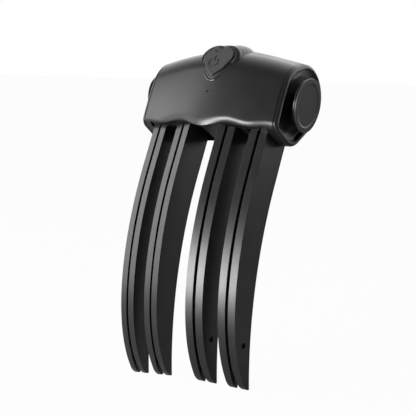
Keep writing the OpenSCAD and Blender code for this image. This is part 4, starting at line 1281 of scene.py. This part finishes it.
@dataclass
class Fingers:
    """The four fingers: eight curved blades, their heated plates and their back strips."""

    head: Head
    pair_w: float = 8.5
    slot_w: float = 1.2
    fan: float = 13.0
    depth: float = 18.3
    drop: float = 92.4
    front_sweep: float = 36.1
    tip_depth: float = 5.7
    tip_ease: float = 2.0
    root_ease: float = 0.43
    front_ease: float = 0.31
    back_ease: float = 0.253
    front_tip: float = 31.0
    back_tip: float = 60.9
    top: float = 20.8
    heel_top: float = 25.0
    heel_from: float = 6.0
    strip: float = 1.0
    strip_gap: float = 0.1
    plate_t: float = 0.8
    film_t: float = 0.25
    plate_inset: float = 2.0
    plate_from: float = 1 / 22
    plate_to: float = 18 / 22
    strip_to: float = 21 / 22
    mouth_len: float = 17.0
    mouth_cut: float = 1.2
    mouth_from: float = 0.8
    mouth_ease: float = 2.0
    window_w: float = 4.0
    window_h: float = 2.3
    window_at: float = 0.75
    window_depth: float = 1.0
    # Painted shade in the latch window: how far the darkened faces lie behind its face
    window_skin: Flat = (0.02, 0.05)
    window_span: float = 0.05
    tang: Flat = (4.2, 16.2)
    tang_top: float = 28.6
    tang_in: float = 1.5
    stem_top: float = 31.0
    overlap: float = 1.0
    root_in: float = 0.01
    stem_in: float = 0.02
    film_gap: float = 0.05
    pocket_edge: float = 0.02
    bore_r: float = 1.56
    edge: float = 0.18
    edge_least: float = 0.01
    edge_steps: int = 4
    rows_count: int = 56
    plate_count: int = 40
    end_steps: int = 4
    tip_steps: int = 10
    tip_share: float = 0.47

    @property
    def places(self) -> tuple[float, ...]:
        """X of the middle of each finger."""
        inner, outer = self.head.inner_x, self.head.outer_x
        return (-outer, -inner, inner, outer)

    @property
    def blade_t(self) -> float:
        """Thickness of one blade."""
        return (self.pair_w - self.slot_w) / 2

    @staticmethod
    def bezier(p: Sequence[Flat], t: float) -> Flat:
        """A point of a curve through four handles."""
        u = 1 - t
        w = (u**3, 3 * t * u * u, 3 * t * t * u, t**3)
        return (sum(k * q[0] for k, q in zip(w, p)), sum(k * q[1] for k, q in zip(w, p)))

    def bend(self, start: float, end: float, angle: float, ease: float, t: float) -> Flat:
        """A point of an edge that starts straight down.

        Args:
            start: Y where the edge starts.
            end: Y where the tip starts.
            angle: the slope of the edge there, in degrees.
            ease: the length of its last handle, as a share of the drop.
            t: the place along the edge, from 0 to 1.

        Returns:
            The point as (y, z).
        """
        late = self.past((end, -self.drop), angle, -ease * self.drop)
        return self.bezier([(start, 0.0), (start, -self.root_ease * self.drop), late, (end, -self.drop)], t)

    def front(self, t: float) -> Flat:
        """A point of the front edge as (y, z)."""
        return self.bend(0.0, self.front_sweep, self.front_tip, self.front_ease, t)

    def back(self, t: float) -> Flat:
        """A point of the back edge as (y, z)."""
        return self.bend(self.depth, self.front_sweep + self.tip_depth, self.back_tip, self.back_ease, t)

    def middle(self, t: float) -> Flat:
        """The point half way between the edges."""
        return mix(self.front(t), self.back(t), 0.5)

    @staticmethod
    def past(point: Flat, angle: float, reach: float) -> Flat:
        """The point further along an edge that slopes down at an angle, or back along it."""
        turn = math.radians(angle)
        return (point[0] + reach * math.cos(turn), point[1] - reach * math.sin(turn))

    def set_back(self, x: float) -> float:
        """How far the fan of the fingers sets back a point at x."""
        return math.tan(math.radians(self.fan)) * (abs(x) - self.head.inner_x)

    def blade_rows(self) -> list[Row]:
        """Front and back points of a blade from its root to its rounded tip."""
        rows = [((0.0, z), (self.depth - self.strip, z)) for z in steps(self.top, 0.0, self.end_steps)[:-1]]
        for t in steps(0.0, self.strip_to, self.rows_count):
            b = self.back(t)
            rows.append((self.front(t), (b[0] - self.strip, b[1])))
        for t in steps(self.strip_to + self.strip_gap / self.drop, 1.0, self.end_steps):
            rows.append((self.front(t), self.back(t)))
        front, back = rows[-1]
        late = self.past(front, self.front_tip, self.tip_ease)
        curve = [front, late, self.past(back, self.back_tip, self.tip_ease), back]
        for t in steps(0.0, self.tip_share, self.tip_steps)[1:]:
            rows.append((self.bezier(curve, t), self.bezier(curve, 1 - t)))
        return rows

    def plate_rows(self, slack: float) -> list[Row]:
        """The same for the heated part, drawn in by a slack."""
        lost = slack / self.drop
        rows = []
        inset = self.plate_inset + slack
        for t in steps(self.plate_from + lost, self.plate_to - lost, self.plate_count):
            f, b = self.front(t), self.back(t)
            rows.append(((f[0] + inset, f[1]), (b[0] - inset - self.strip, b[1])))
        return rows

    def strip_rows(self) -> list[Row]:
        """The same for a back strip."""
        near = self.strip - self.strip_gap
        heights = steps(self.heel_top, 0.0, self.end_steps)[:-1]
        rows = [((self.depth - near, z), (self.depth, z)) for z in heights]
        for t in steps(0.0, self.strip_to, self.rows_count):
            b = self.back(t)
            rows.append(((b[0] - near, b[1]), b))
        return rows

    def slab(self, name: str, rows: Sequence[Row], low: float, high: float, edge: float) -> Solid:
        """A body between two planes of X with soft long edges.

        Args:
            name: its name.
            rows: its front and back points, in order along it.
            low: the lower plane of X.
            high: the upper one.
            edge: the radius of its long edges.

        Returns:
            The solid, set back by the fan of the fingers.
        """
        rings = []
        for front, back in rows:
            length = math.dist(front, back)
            e = min(edge, length / 2 - self.edge_least, (high - low) / 2 - self.edge_least)
            near, far, end = low + e, high - e, length - e
            ring = []
            for cx, cs, start in ((near, e, 180), (far, e, 270), (far, end, 0), (near, end, 90)):
                for a in steps(start, start + 90, self.edge_steps):
                    turn = math.radians(a)
                    x = cx + e * math.cos(turn)
                    y, z = mix(front, back, (cs + e * math.sin(turn)) / length)
                    ring.append((x, y + self.set_back(x), z))
            rings.append(ring)
        return Solid(name).loft(rings)

    def mouth(self, solid: Solid, slot_face: float, hand: int) -> None:
        """Draws the slot face of a blade away from the slot towards the tip."""
        start = Vector(self.middle(1 - self.mouth_from * self.mouth_len / self.drop))
        way = (Vector(self.middle(1.0)) - start).normalized()
        for vertex in solid.mesh.vertices:
            p = vertex.co
            flat = Vector((p.y - self.set_back(p.x), p.z))
            along = max(0.0, (flat - start).dot(way))
            share = 1 - abs(p.x - slot_face) / self.blade_t
            soft = along * along / (along + self.mouth_ease)
            p.x += hand * soft * self.mouth_cut / self.mouth_len * max(0.0, share)

    def blade(self, number: int, hand: int, workshop: Workshop) -> None:
        """Builds one blade.

        Args:
            number: the finger, from 1 at the left to 4 at the right.
            hand: -1 for its left blade and 1 for its right one.
            workshop: places and dresses it.
        """
        x = self.places[number - 1]
        slot_face = x + hand * self.slot_w / 2
        outer_face = x + hand * self.pair_w / 2
        low, high = sorted((slot_face, outer_face))
        fixed = x * hand > 0
        kind = "fixed" if fixed else "sliding"
        solid = self.slab(f"{kind}_blade_{number}_form", self.blade_rows(), low, high, self.edge)
        self.mouth(solid, slot_face, hand)
        lap = self.overlap
        front, back = self.tang
        start = (low + self.root_in, front, self.top - lap)
        end = (high - self.root_in, back, self.tang_top)
        solid.apply(Solid("root").block(start, end), Part.JOIN)
        heel = [((self.heel_from, z), (self.depth - self.strip, z)) for z in (self.heel_top, self.top - lap)]
        solid.apply(self.slab("heel", heel, low, high, self.edge), Part.JOIN)
        if not fixed:
            start = (low + self.stem_in, front + self.tang_in, self.tang_top - lap)
            end = (high - self.stem_in, back - self.tang_in, self.stem_top)
            solid.apply(Solid("stem").block(start, end), Part.JOIN)
        pocket_x = sorted((slot_face - hand, slot_face + hand * (self.plate_t + self.film_t + self.film_gap)))
        solid.apply(self.slab("pocket", self.plate_rows(0.0), *pocket_x, self.pocket_edge), Part.CUT)
        for y in ROD_Y:
            rod = Solid("rod").tube((low - lap, y, ROD_Z), (high + lap, y, ROD_Z), self.bore_r)
            solid.apply(rod, Part.CUT)
        if fixed:
            solid.apply(self.latch(outer_face), Part.CUT)
            # Painted shade inside the latch window
            self.darken(solid, outer_face)
        body = "housing" if fixed else "left_carriage" if x < 0 else "right_carriage"
        workshop.finish(solid, BLADE, body, [f"{kind}_blade_{number}"], PAINTED_SHADE_WINDOW)

    def darken(self, solid: Solid, face_x: float) -> None:
        """Paints shade on the faces inside the latch window with the near-black second finish."""
        for face in solid.mesh.polygons:
            x, y, z = face.center
            near = math.dist((y - self.set_back(x), z), self.middle(self.window_at)) < self.window_w
            sunk = self.window_skin[0] < abs(x - face_x) < self.window_depth + self.window_skin[1]
            face.material_index = 1 if near and sunk else 0

    def latch(self, face: float) -> Solid:
        """The tool that cuts the latch window."""
        t, span = self.window_at, self.window_span
        above, middle, below = [self.middle(share) for share in (t - span, t, t + span)]
        turn = math.atan2(below[0] - above[0], above[1] - below[1])
        place = Matrix.Translation((face, middle[0] + self.set_back(face), middle[1]))
        corner = (self.window_depth, self.window_w / 2, self.window_h / 2)
        made = Solid("latch").block(tuple(-c for c in corner), corner)
        return made.place(place @ Matrix.Rotation(turn, 4, "X"))

    def lining(self, name: str, blades: Sequence[Flat], rows: Sequence[Row], thickness: float) -> Solid:
        """Slabs of one thickness on the slot faces of several blades, each given as (x, hand)."""
        made = Solid(name)
        for x, hand in blades:
            face = x + hand * self.slot_w / 2
            low, high = sorted((face, face + hand * thickness))
            made.take(self.slab("slab", rows, low, high, self.edge))
        return made

    def make(self, workshop: Workshop) -> None:
        """Builds the blades, plates and strips."""
        for number in range(1, len(self.places) + 1):
            for hand in (-1, 1):
                self.blade(number, hand, workshop)
        groups = {
            "fixed": ("housing", [(x, math.copysign(1, x)) for x in self.places]),
            "left": ("left_carriage", [(x, 1) for x in self.places if x < 0]),
            "right": ("right_carriage", [(x, -1) for x in self.places if x > 0]),
        }
        plate_rows, strip_rows = self.plate_rows(self.strip_gap), self.strip_rows()
        for word, (body, blades) in groups.items():
            plates = self.lining(f"{word}_plate_lining", blades, plate_rows, self.plate_t)
            workshop.finish(plates, PLATE, body, [f"{word}_heat_plates"])
            strips = self.lining(f"{word}_strip_trim", blades, strip_rows, self.blade_t)
            workshop.finish(strips, STRIP, body, [f"{word}_back_strips"])


class Rig:
    """A Geometry Nodes tree with named inputs, whose result becomes a plain mesh."""

    def __init__(self, name: str, inputs: dict[str, float]) -> None:
        """Opens a tree with one float input for each named size."""
        self.inputs = inputs
        self.tree = bpy.data.node_groups.new(name, "GeometryNodeTree")
        face = self.tree.interface
        face.new_socket("Geometry", in_out="INPUT", socket_type="NodeSocketGeometry")
        for label in inputs:
            face.new_socket(label, in_out="INPUT", socket_type="NodeSocketFloat")
        face.new_socket("Geometry", in_out="OUTPUT", socket_type="NodeSocketGeometry")
        self.graph = Graph(self.tree)
        self.source = self.tree.nodes.new("NodeGroupInput")

    def size(self, label: str) -> Wire:
        """A wire from one of the inputs."""
        return Wire(self.graph, self.source.outputs[label])

    def turned(self, geometry: Wire, turn: Point) -> Wire:
        """Geometry turned about the origin."""
        return self.graph.add("GeometryNodeTransform", None, {"Geometry": geometry, "Rotation": turn})

    def raised(self, geometry: Wire, height: Wire) -> Wire:
        """Geometry moved up."""
        rise = self.graph.add("ShaderNodeCombineXYZ", None, {"Z": height})
        return self.graph.add("GeometryNodeTransform", None, {"Geometry": geometry, "Translation": rise})

    def close(self, instance: Wire, finish: Finish) -> None:
        """Puts the shape on each point and ends the tree in Realize Instances and Set Material."""
        sockets = {"Points": self.size("Geometry"), "Instance": instance}
        geometry = self.graph.add("GeometryNodeInstanceOnPoints", None, sockets)
        real = self.graph.add("GeometryNodeRealizeInstances", None, {"Geometry": geometry})
        sockets = {"Geometry": real, "Material": finish.make()}
        dressed = self.graph.add("GeometryNodeSetMaterial", None, sockets)
        self.graph.add("NodeGroupOutput", None, {"Geometry": dressed})

    def run(self, name: str, seats: Iterable[Point]) -> Solid:
        """Runs the tree on a mesh of single points and keeps the result.

        Args:
            name: the name of the result.
            seats: the points that it repeats its shape at.

        Returns:
            The result as a solid.
        """
        base = bpy.data.meshes.new(name)
        base.from_pydata([tuple(p) for p in seats], [], [])
        holder = put(name, base)
        step = holder.modifiers.new("rig", "NODES")
        step.node_group = self.tree
        for item in self.tree.interface.items_tree:
            if item.item_type == "SOCKET" and item.in_out == "INPUT" and item.name in self.inputs:
                step[item.identifier] = self.inputs[item.name]
        made = Solid(name)
        bpy.data.meshes.remove(made.mesh)
        made.mesh = settled(holder)
        bpy.data.objects.remove(holder)
        return made


@dataclass
class Springs:
    """The return springs on the guide rods, drawn as a wire that climbs round each rod."""

    start: float = 18.6
    end: float = 23.45
    turns: float = 4.0
    coil_r: float = 2.05
    wire_r: float = 0.25
    coil_steps: int = 20
    wire_steps: int = 8
    squeeze: float = 3.0

    def make(self, side: Side, workshop: Workshop) -> None:
        """Builds the two springs of one side."""
        length = self.end - self.start
        sizes = {"Coil Radius": self.coil_r, "Wire Radius": self.wire_r,
                 "Length": length, "Turns": self.turns}
        rig = Rig(f"spring_rig_{side.word}", sizes)
        graph = rig.graph
        coil_r = rig.size("Coil Radius")
        coil = graph.add("GeometryNodeCurveSpiral", None, {
            "Resolution": self.coil_steps, "Rotations": rig.size("Turns"), "Start Radius": coil_r,
            "End Radius": coil_r, "Height": rig.size("Length")})
        section = graph.add("GeometryNodeCurvePrimitiveCircle", None, {
            "Resolution": self.wire_steps, "Radius": rig.size("Wire Radius")})
        wire = graph.add("GeometryNodeCurveToMesh", None, {
            "Curve": coil, "Profile Curve": section, "Fill Caps": True})
        rig.close(rig.turned(wire, (0.0, math.radians(90.0) * side.value, 0.0)), STEEL)
        seats = [(side.value * self.start, y, ROD_Z) for y in ROD_Y]
        made = rig.run(f"{side.word}_spring_wires", seats)
        piece = workshop.finish(made, STEEL, "housing", [f"{side.word}_springs"])
        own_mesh(piece)


@dataclass
class Screws:
    """The shell screws, each with a flat round head and a six-sided socket in it."""

    radius: float = 1.2
    head_r: float = 2.2
    head_t: float = 1.4
    socket_r: float = 1.0
    socket_t: float = 0.7
    high_end: float = 8.0
    low_end: float = 0.4
    proud: float = 0.01
    shank_sides: int = 32
    head_sides: int = 40
    socket_sides: int = 6

    def screw(self, name: str, length: float, seats: Sequence[Point]) -> Solid:
        """Screws of one length with their heads seated at given points."""
        sizes = {"Shank Radius": self.radius, "Shank Length": length, "Head Radius": self.head_r,
                 "Head Height": self.head_t, "Socket Radius": self.socket_r, "Socket Depth": self.socket_t}
        rig = Rig(f"{name}_rig", sizes)
        graph = rig.graph
        shank = self._bar(rig, "Shank Radius", "Shank Length", self.shank_sides, -0.5)
        cap = self._bar(rig, "Head Radius", "Head Height", self.head_sides, 0.5)
        socket = self._bar(rig, "Socket Radius", "Socket Depth", self.socket_sides, 0.5)
        socket = rig.raised(socket, rig.size("Head Height") - rig.size("Socket Depth") + self.proud)
        cut = graph.add("GeometryNodeMeshBoolean", {"operation": "DIFFERENCE"}, {0: cap, 1: socket})
        both = graph.add("GeometryNodeJoinGeometry", None, {0: [shank, cut]})
        rig.close(rig.turned(both, (math.radians(-90.0), 0.0, 0.0)), STEEL)
        return rig.run(name, seats)

    @staticmethod
    def _bar(rig: Rig, radius: str, length: str, corners: int, middle: float) -> Wire:
        """A bar along Z whose middle is a share of its length above the origin."""
        sockets = {"Vertices": corners, "Radius": rig.size(radius), "Depth": rig.size(length)}
        bar = rig.graph.add("GeometryNodeMeshCylinder", None, sockets)
        return rig.raised(bar, rig.size(length) * middle)

    def make(self, shells: Shells, workshop: Workshop) -> None:
        """Builds the three screws."""
        places = shells.screws()
        high = [(x, shells.high_seat, z) for x, z in places[:2]]
        made = self.screw("shell_screw_set", shells.high_seat - self.high_end, high)
        low = [(x, shells.low_seat, z) for x, z in places[2:]]
        made.take(self.screw("low_screw", shells.low_seat - self.low_end, low))
        workshop.finish(made, STEEL, "housing", ["shell_screws"])


@dataclass
class Insides:
    """The pieces inside the head, most of which keep their CAD shape."""

    shells: Shells
    cell_y: float = 16.8
    cell_z: float = 49.0
    cell_r: float = 9.2
    cell_len: float = 49.4
    rim_w: float = 0.8
    base_edge: Flat = (0.1, 0.4)
    lid_edge: Flat = (0.1, 0.5)
    edge_r: float = 0.2
    lid_r: float = 1.6
    lid_depth: float = 0.2
    post_r: Flat = (4.2, 4.0)
    groove_at: float = 3.2
    groove_w: float = 1.8
    groove_depth: float = 0.45
    light_y: float = -5.2
    light_r: float = 0.5
    light_wall: float = 2.0
    light_sunk: float = 0.1
    light_dome: float = 0.25
    light_flange: float = 1.0
    light_end: float = 1.02
    dome_from: float = 10.0
    cell_sides: int = 96
    light_sides: int = 40
    groove_steps: int = 8

    kept: dict[str, Finish] = field(default_factory=lambda: {
        "chassis": INNER, "circuit_board": BOARD, "switch_body": INNER, "board_screws": STEEL,
        "battery_tray": INNER, "battery_tabs": NICKEL, "charge_port": NICKEL, "charge_board": BOARD,
        "guide_rods": STEEL, "left_bridge": INNER, "right_bridge": INNER, "fixed_heater_films": FILM,
        "left_heater_films": FILM, "right_heater_films": FILM, "clip_left": STEEL, "clip_right": STEEL,
        "switch_plunger": BUTTON})

    def cell(self) -> Solid:
        """The battery cell, with the crimped groove under its lid."""
        r, half = self.cell_r, self.cell_len / 2
        rim, soft, sunk = r - self.rim_w, r - self.edge_r, half - self.lid_depth
        rows = [(0.0, -half), (rim, -half), (soft, -half + self.base_edge[0]), (r, -half + self.base_edge[1])]
        for t in steps(0.0, 1.0, self.groove_steps):
            height = half - self.groove_at + self.groove_w * (t - 0.5)
            rows.append((r - self.groove_depth * math.sin(math.pi * t), height))
        rows += [(r, half - self.lid_edge[1]), (soft, half - self.lid_edge[0]), (rim, half)]
        rows += [(r - self.lid_r, sunk), (self.post_r[0], sunk), (self.post_r[1], half), (0.0, half)]
        place = Matrix.Translation((0, self.cell_y, self.cell_z)) @ rotation(90, "Y")
        return Solid("battery_cell_sleeve").lathe(rows, self.cell_sides).place(place)

    def pipe(self) -> Solid:
        """The light pipe with a domed end in the front shell."""
        top, step, end = self.light_y + self.light_sunk, self.light_y + self.light_wall, self.light_end
        rows = [(0.0, top)]
        for a in steps(self.dome_from, 90.0, CORNER_STEPS):
            turn = math.radians(a)
            rows.append((self.light_r * math.sin(turn), top + self.light_dome * (1 - math.cos(turn))))
        rows += [(self.light_r, step), (self.light_flange, step), (self.light_flange, end), (0.0, end)]
        place = Matrix.Translation((0, 0, self.shells.light_z)) @ rotation(-90, "X")
        return Solid("light_pipe_lens").lathe(rows, self.light_sides).place(place)

    def make(self, workshop: Workshop) -> None:
        """Dresses the kept nodes and builds the cell and the light pipe."""
        for node, finish in self.kept.items():
            workshop.dress(node, finish)
        workshop.finish(self.cell(), CELL, "housing", ["battery_cell"])
        workshop.finish(self.pipe(), LIGHT, "housing", ["light_pipe"])


def direction(azimuth: float, elevation: float) -> Vector:
    """The unit vector towards an azimuth right of the front and an elevation, both in degrees."""
    a, e = math.radians(azimuth), math.radians(elevation)
    return Vector((math.sin(a) * math.cos(e), -math.cos(a) * math.cos(e), math.sin(e)))


def aimed(item: bpy.types.Object, aim: Vector, azimuth: float, elevation: float, distance: float) -> None:
    """Places a lamp or camera in a direction from a point, in metres, and turns it to the point."""
    way = direction(azimuth, elevation)
    item.location = aim + way * distance
    item.rotation_euler = way.to_track_quat("Z", "Y").to_euler()


@dataclass(frozen=True)
class SoftBox:
    """A soft lamp, placed by its direction from the object: azimuth to the right of the front, in degrees."""

    name: str
    azimuth: float
    elevation: float
    width: float
    height: float
    radiance: float
    distance: float = 0.9

    def make(self, aim: Vector) -> None:
        """Hangs the lamp and turns it to the object."""
        lamp = bpy.data.lights.new(self.name, "AREA")
        lamp.shape = "RECTANGLE"
        lamp.size = self.width
        lamp.size_y = self.height
        lamp.energy = self.radiance * math.pi * self.width * self.height
        aimed(put(self.name, lamp), aim, self.azimuth, self.elevation, self.distance)


@dataclass
class Studio:
    """The camera, the pale floor and the lamps."""

    azimuth: float = 32.467
    elevation: float = 7.612
    distance: float = 669.92
    aim: Point = (-2.784, -1.538, 81.472)
    focal_px: float = 1377.3
    sensor: float = 36.0
    clip: Flat = (0.05, 20.0)
    floor_side: float = 6.0
    floor_colour: float = 0.62
    floor_glow: float = 0.97
    room: float = 0.04
    backdrop: float = 2.0
    backdrop_from: float = 0.7
    lamps: tuple[SoftBox, ...] = (
        SoftBox("front_box", -16.0, 7.0, 0.45, 0.32, 28.0),
        SoftBox("left_panel", -68.0, 8.0, 0.5, 0.9, 4.2),
        SoftBox("brow_left", -66.0, 40.0, 0.35, 0.3, 2.0),
        SoftBox("brow_middle", -48.0, 42.0, 0.35, 0.3, 1.1),
        SoftBox("brow_right", -24.0, 42.0, 0.35, 0.25, 0.3),
        SoftBox("top_panel", 20.0, 80.0, 0.8, 0.8, 0.15),
    )

    def make(self) -> None:
        """Sets up the whole studio."""
        scene = bpy.context.scene
        scene.view_settings.view_transform = "Standard"
        aim = Vector(self.aim) * MM
        self.camera(aim)
        for lamp in self.lamps:
            lamp.make(aim)
        self.world()
        self.floor()

    def camera(self, aim: Vector) -> None:
        """Puts the camera at the viewing angle of the photograph."""
        data = bpy.data.cameras.new("camera")
        data.sensor_width = self.sensor
        data.lens = self.focal_px / IMAGE_SIDE * self.sensor
        data.clip_start, data.clip_end = self.clip
        camera = put("camera", data)
        aimed(camera, aim, self.azimuth, self.elevation, self.distance * MM)
        bpy.context.scene.camera = camera

    @staticmethod
    def seen(graph: Graph) -> tuple[Wire, Wire]:
        """Wires that are 1 for the camera's own rays, straight or through glass, and for reflections."""
        path = graph.add("ShaderNodeLightPath")
        outputs = path.socket.node.outputs
        camera = Wire(graph, outputs["Is Camera Ray"])
        through = Wire(graph, outputs["Is Transmission Ray"])
        return camera + through, Wire(graph, outputs["Is Glossy Ray"])

    def world(self) -> None:
        """A white backdrop for the camera over a dim room, with the backdrop's glow in reflections."""
        world = bpy.data.worlds.new("studio")
        bpy.context.scene.world = world
        world.use_nodes = True
        world.node_tree.nodes.clear()
        graph = Graph(world.node_tree)
        straight, glossy = self.seen(graph)
        way = graph.add("ShaderNodeTexCoord", out="Generated")
        behind = graph.add("ShaderNodeSeparateXYZ", None, {"Vector": way}, "Y")
        ramp = {"From Max": self.backdrop_from, "To Max": self.backdrop - self.room}
        glow = graph.add("ShaderNodeMapRange", None, {"Value": behind, **ramp})
        strength = self.room + glow * glossy + straight * (1.0 - self.room)
        shader = graph.add("ShaderNodeBackground", None, {"Color": grey(1.0), "Strength": strength})
        graph.add("ShaderNodeOutputWorld", None, {"Surface": shader})

    def floor(self) -> None:
        """A pale floor that keeps the shadow of the object."""
        mesh = bpy.data.meshes.new("floor")
        half = self.floor_side / 2
        corners = [(-half, -half, 0), (half, -half, 0), (half, half, 0), (-half, half, 0)]
        mesh.from_pydata(corners, [], [(0, 1, 2, 3)])
        floor = put("floor", mesh)
        material = bpy.data.materials.new("pale_floor")
        material.use_nodes = True
        material.node_tree.nodes.clear()
        graph = Graph(material.node_tree)
        straight, _ = self.seen(graph)
        matt = graph.add("ShaderNodeBsdfDiffuse", None, {"Color": grey(self.floor_colour)})
        glow = graph.add("ShaderNodeEmission", None, {"Color": grey(1.0), "Strength": 1.0})
        both = graph.add("ShaderNodeMixShader", None, {0: straight * self.floor_glow, 1: matt, 2: glow})
        graph.add("ShaderNodeOutputMaterial", None, {"Surface": both})
        mesh.materials.append(material)


def main() -> None:
    """Builds the studio and every sub-assembly."""
    logging.basicConfig(level=logging.INFO, format="%(name)s: %(message)s")
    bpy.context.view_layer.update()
    Studio().make()
    workshop = Workshop()
    head = Head()
    heart = HeartButton(head)
    shells = Shells(head)
    shells.make(workshop, heart.boss("boss_cut", heart.cut_slack).place(heart.matrix))
    heart.make(workshop)
    for side in Side:
        EndRing(head, side).make(workshop)
        EndButton(side).make(workshop)
        Springs().make(side, workshop)
    Fingers(head).make(workshop)
    Screws().make(shells, workshop)
    Insides(shells).make(workshop)


if __name__ == "__main__":
    main()
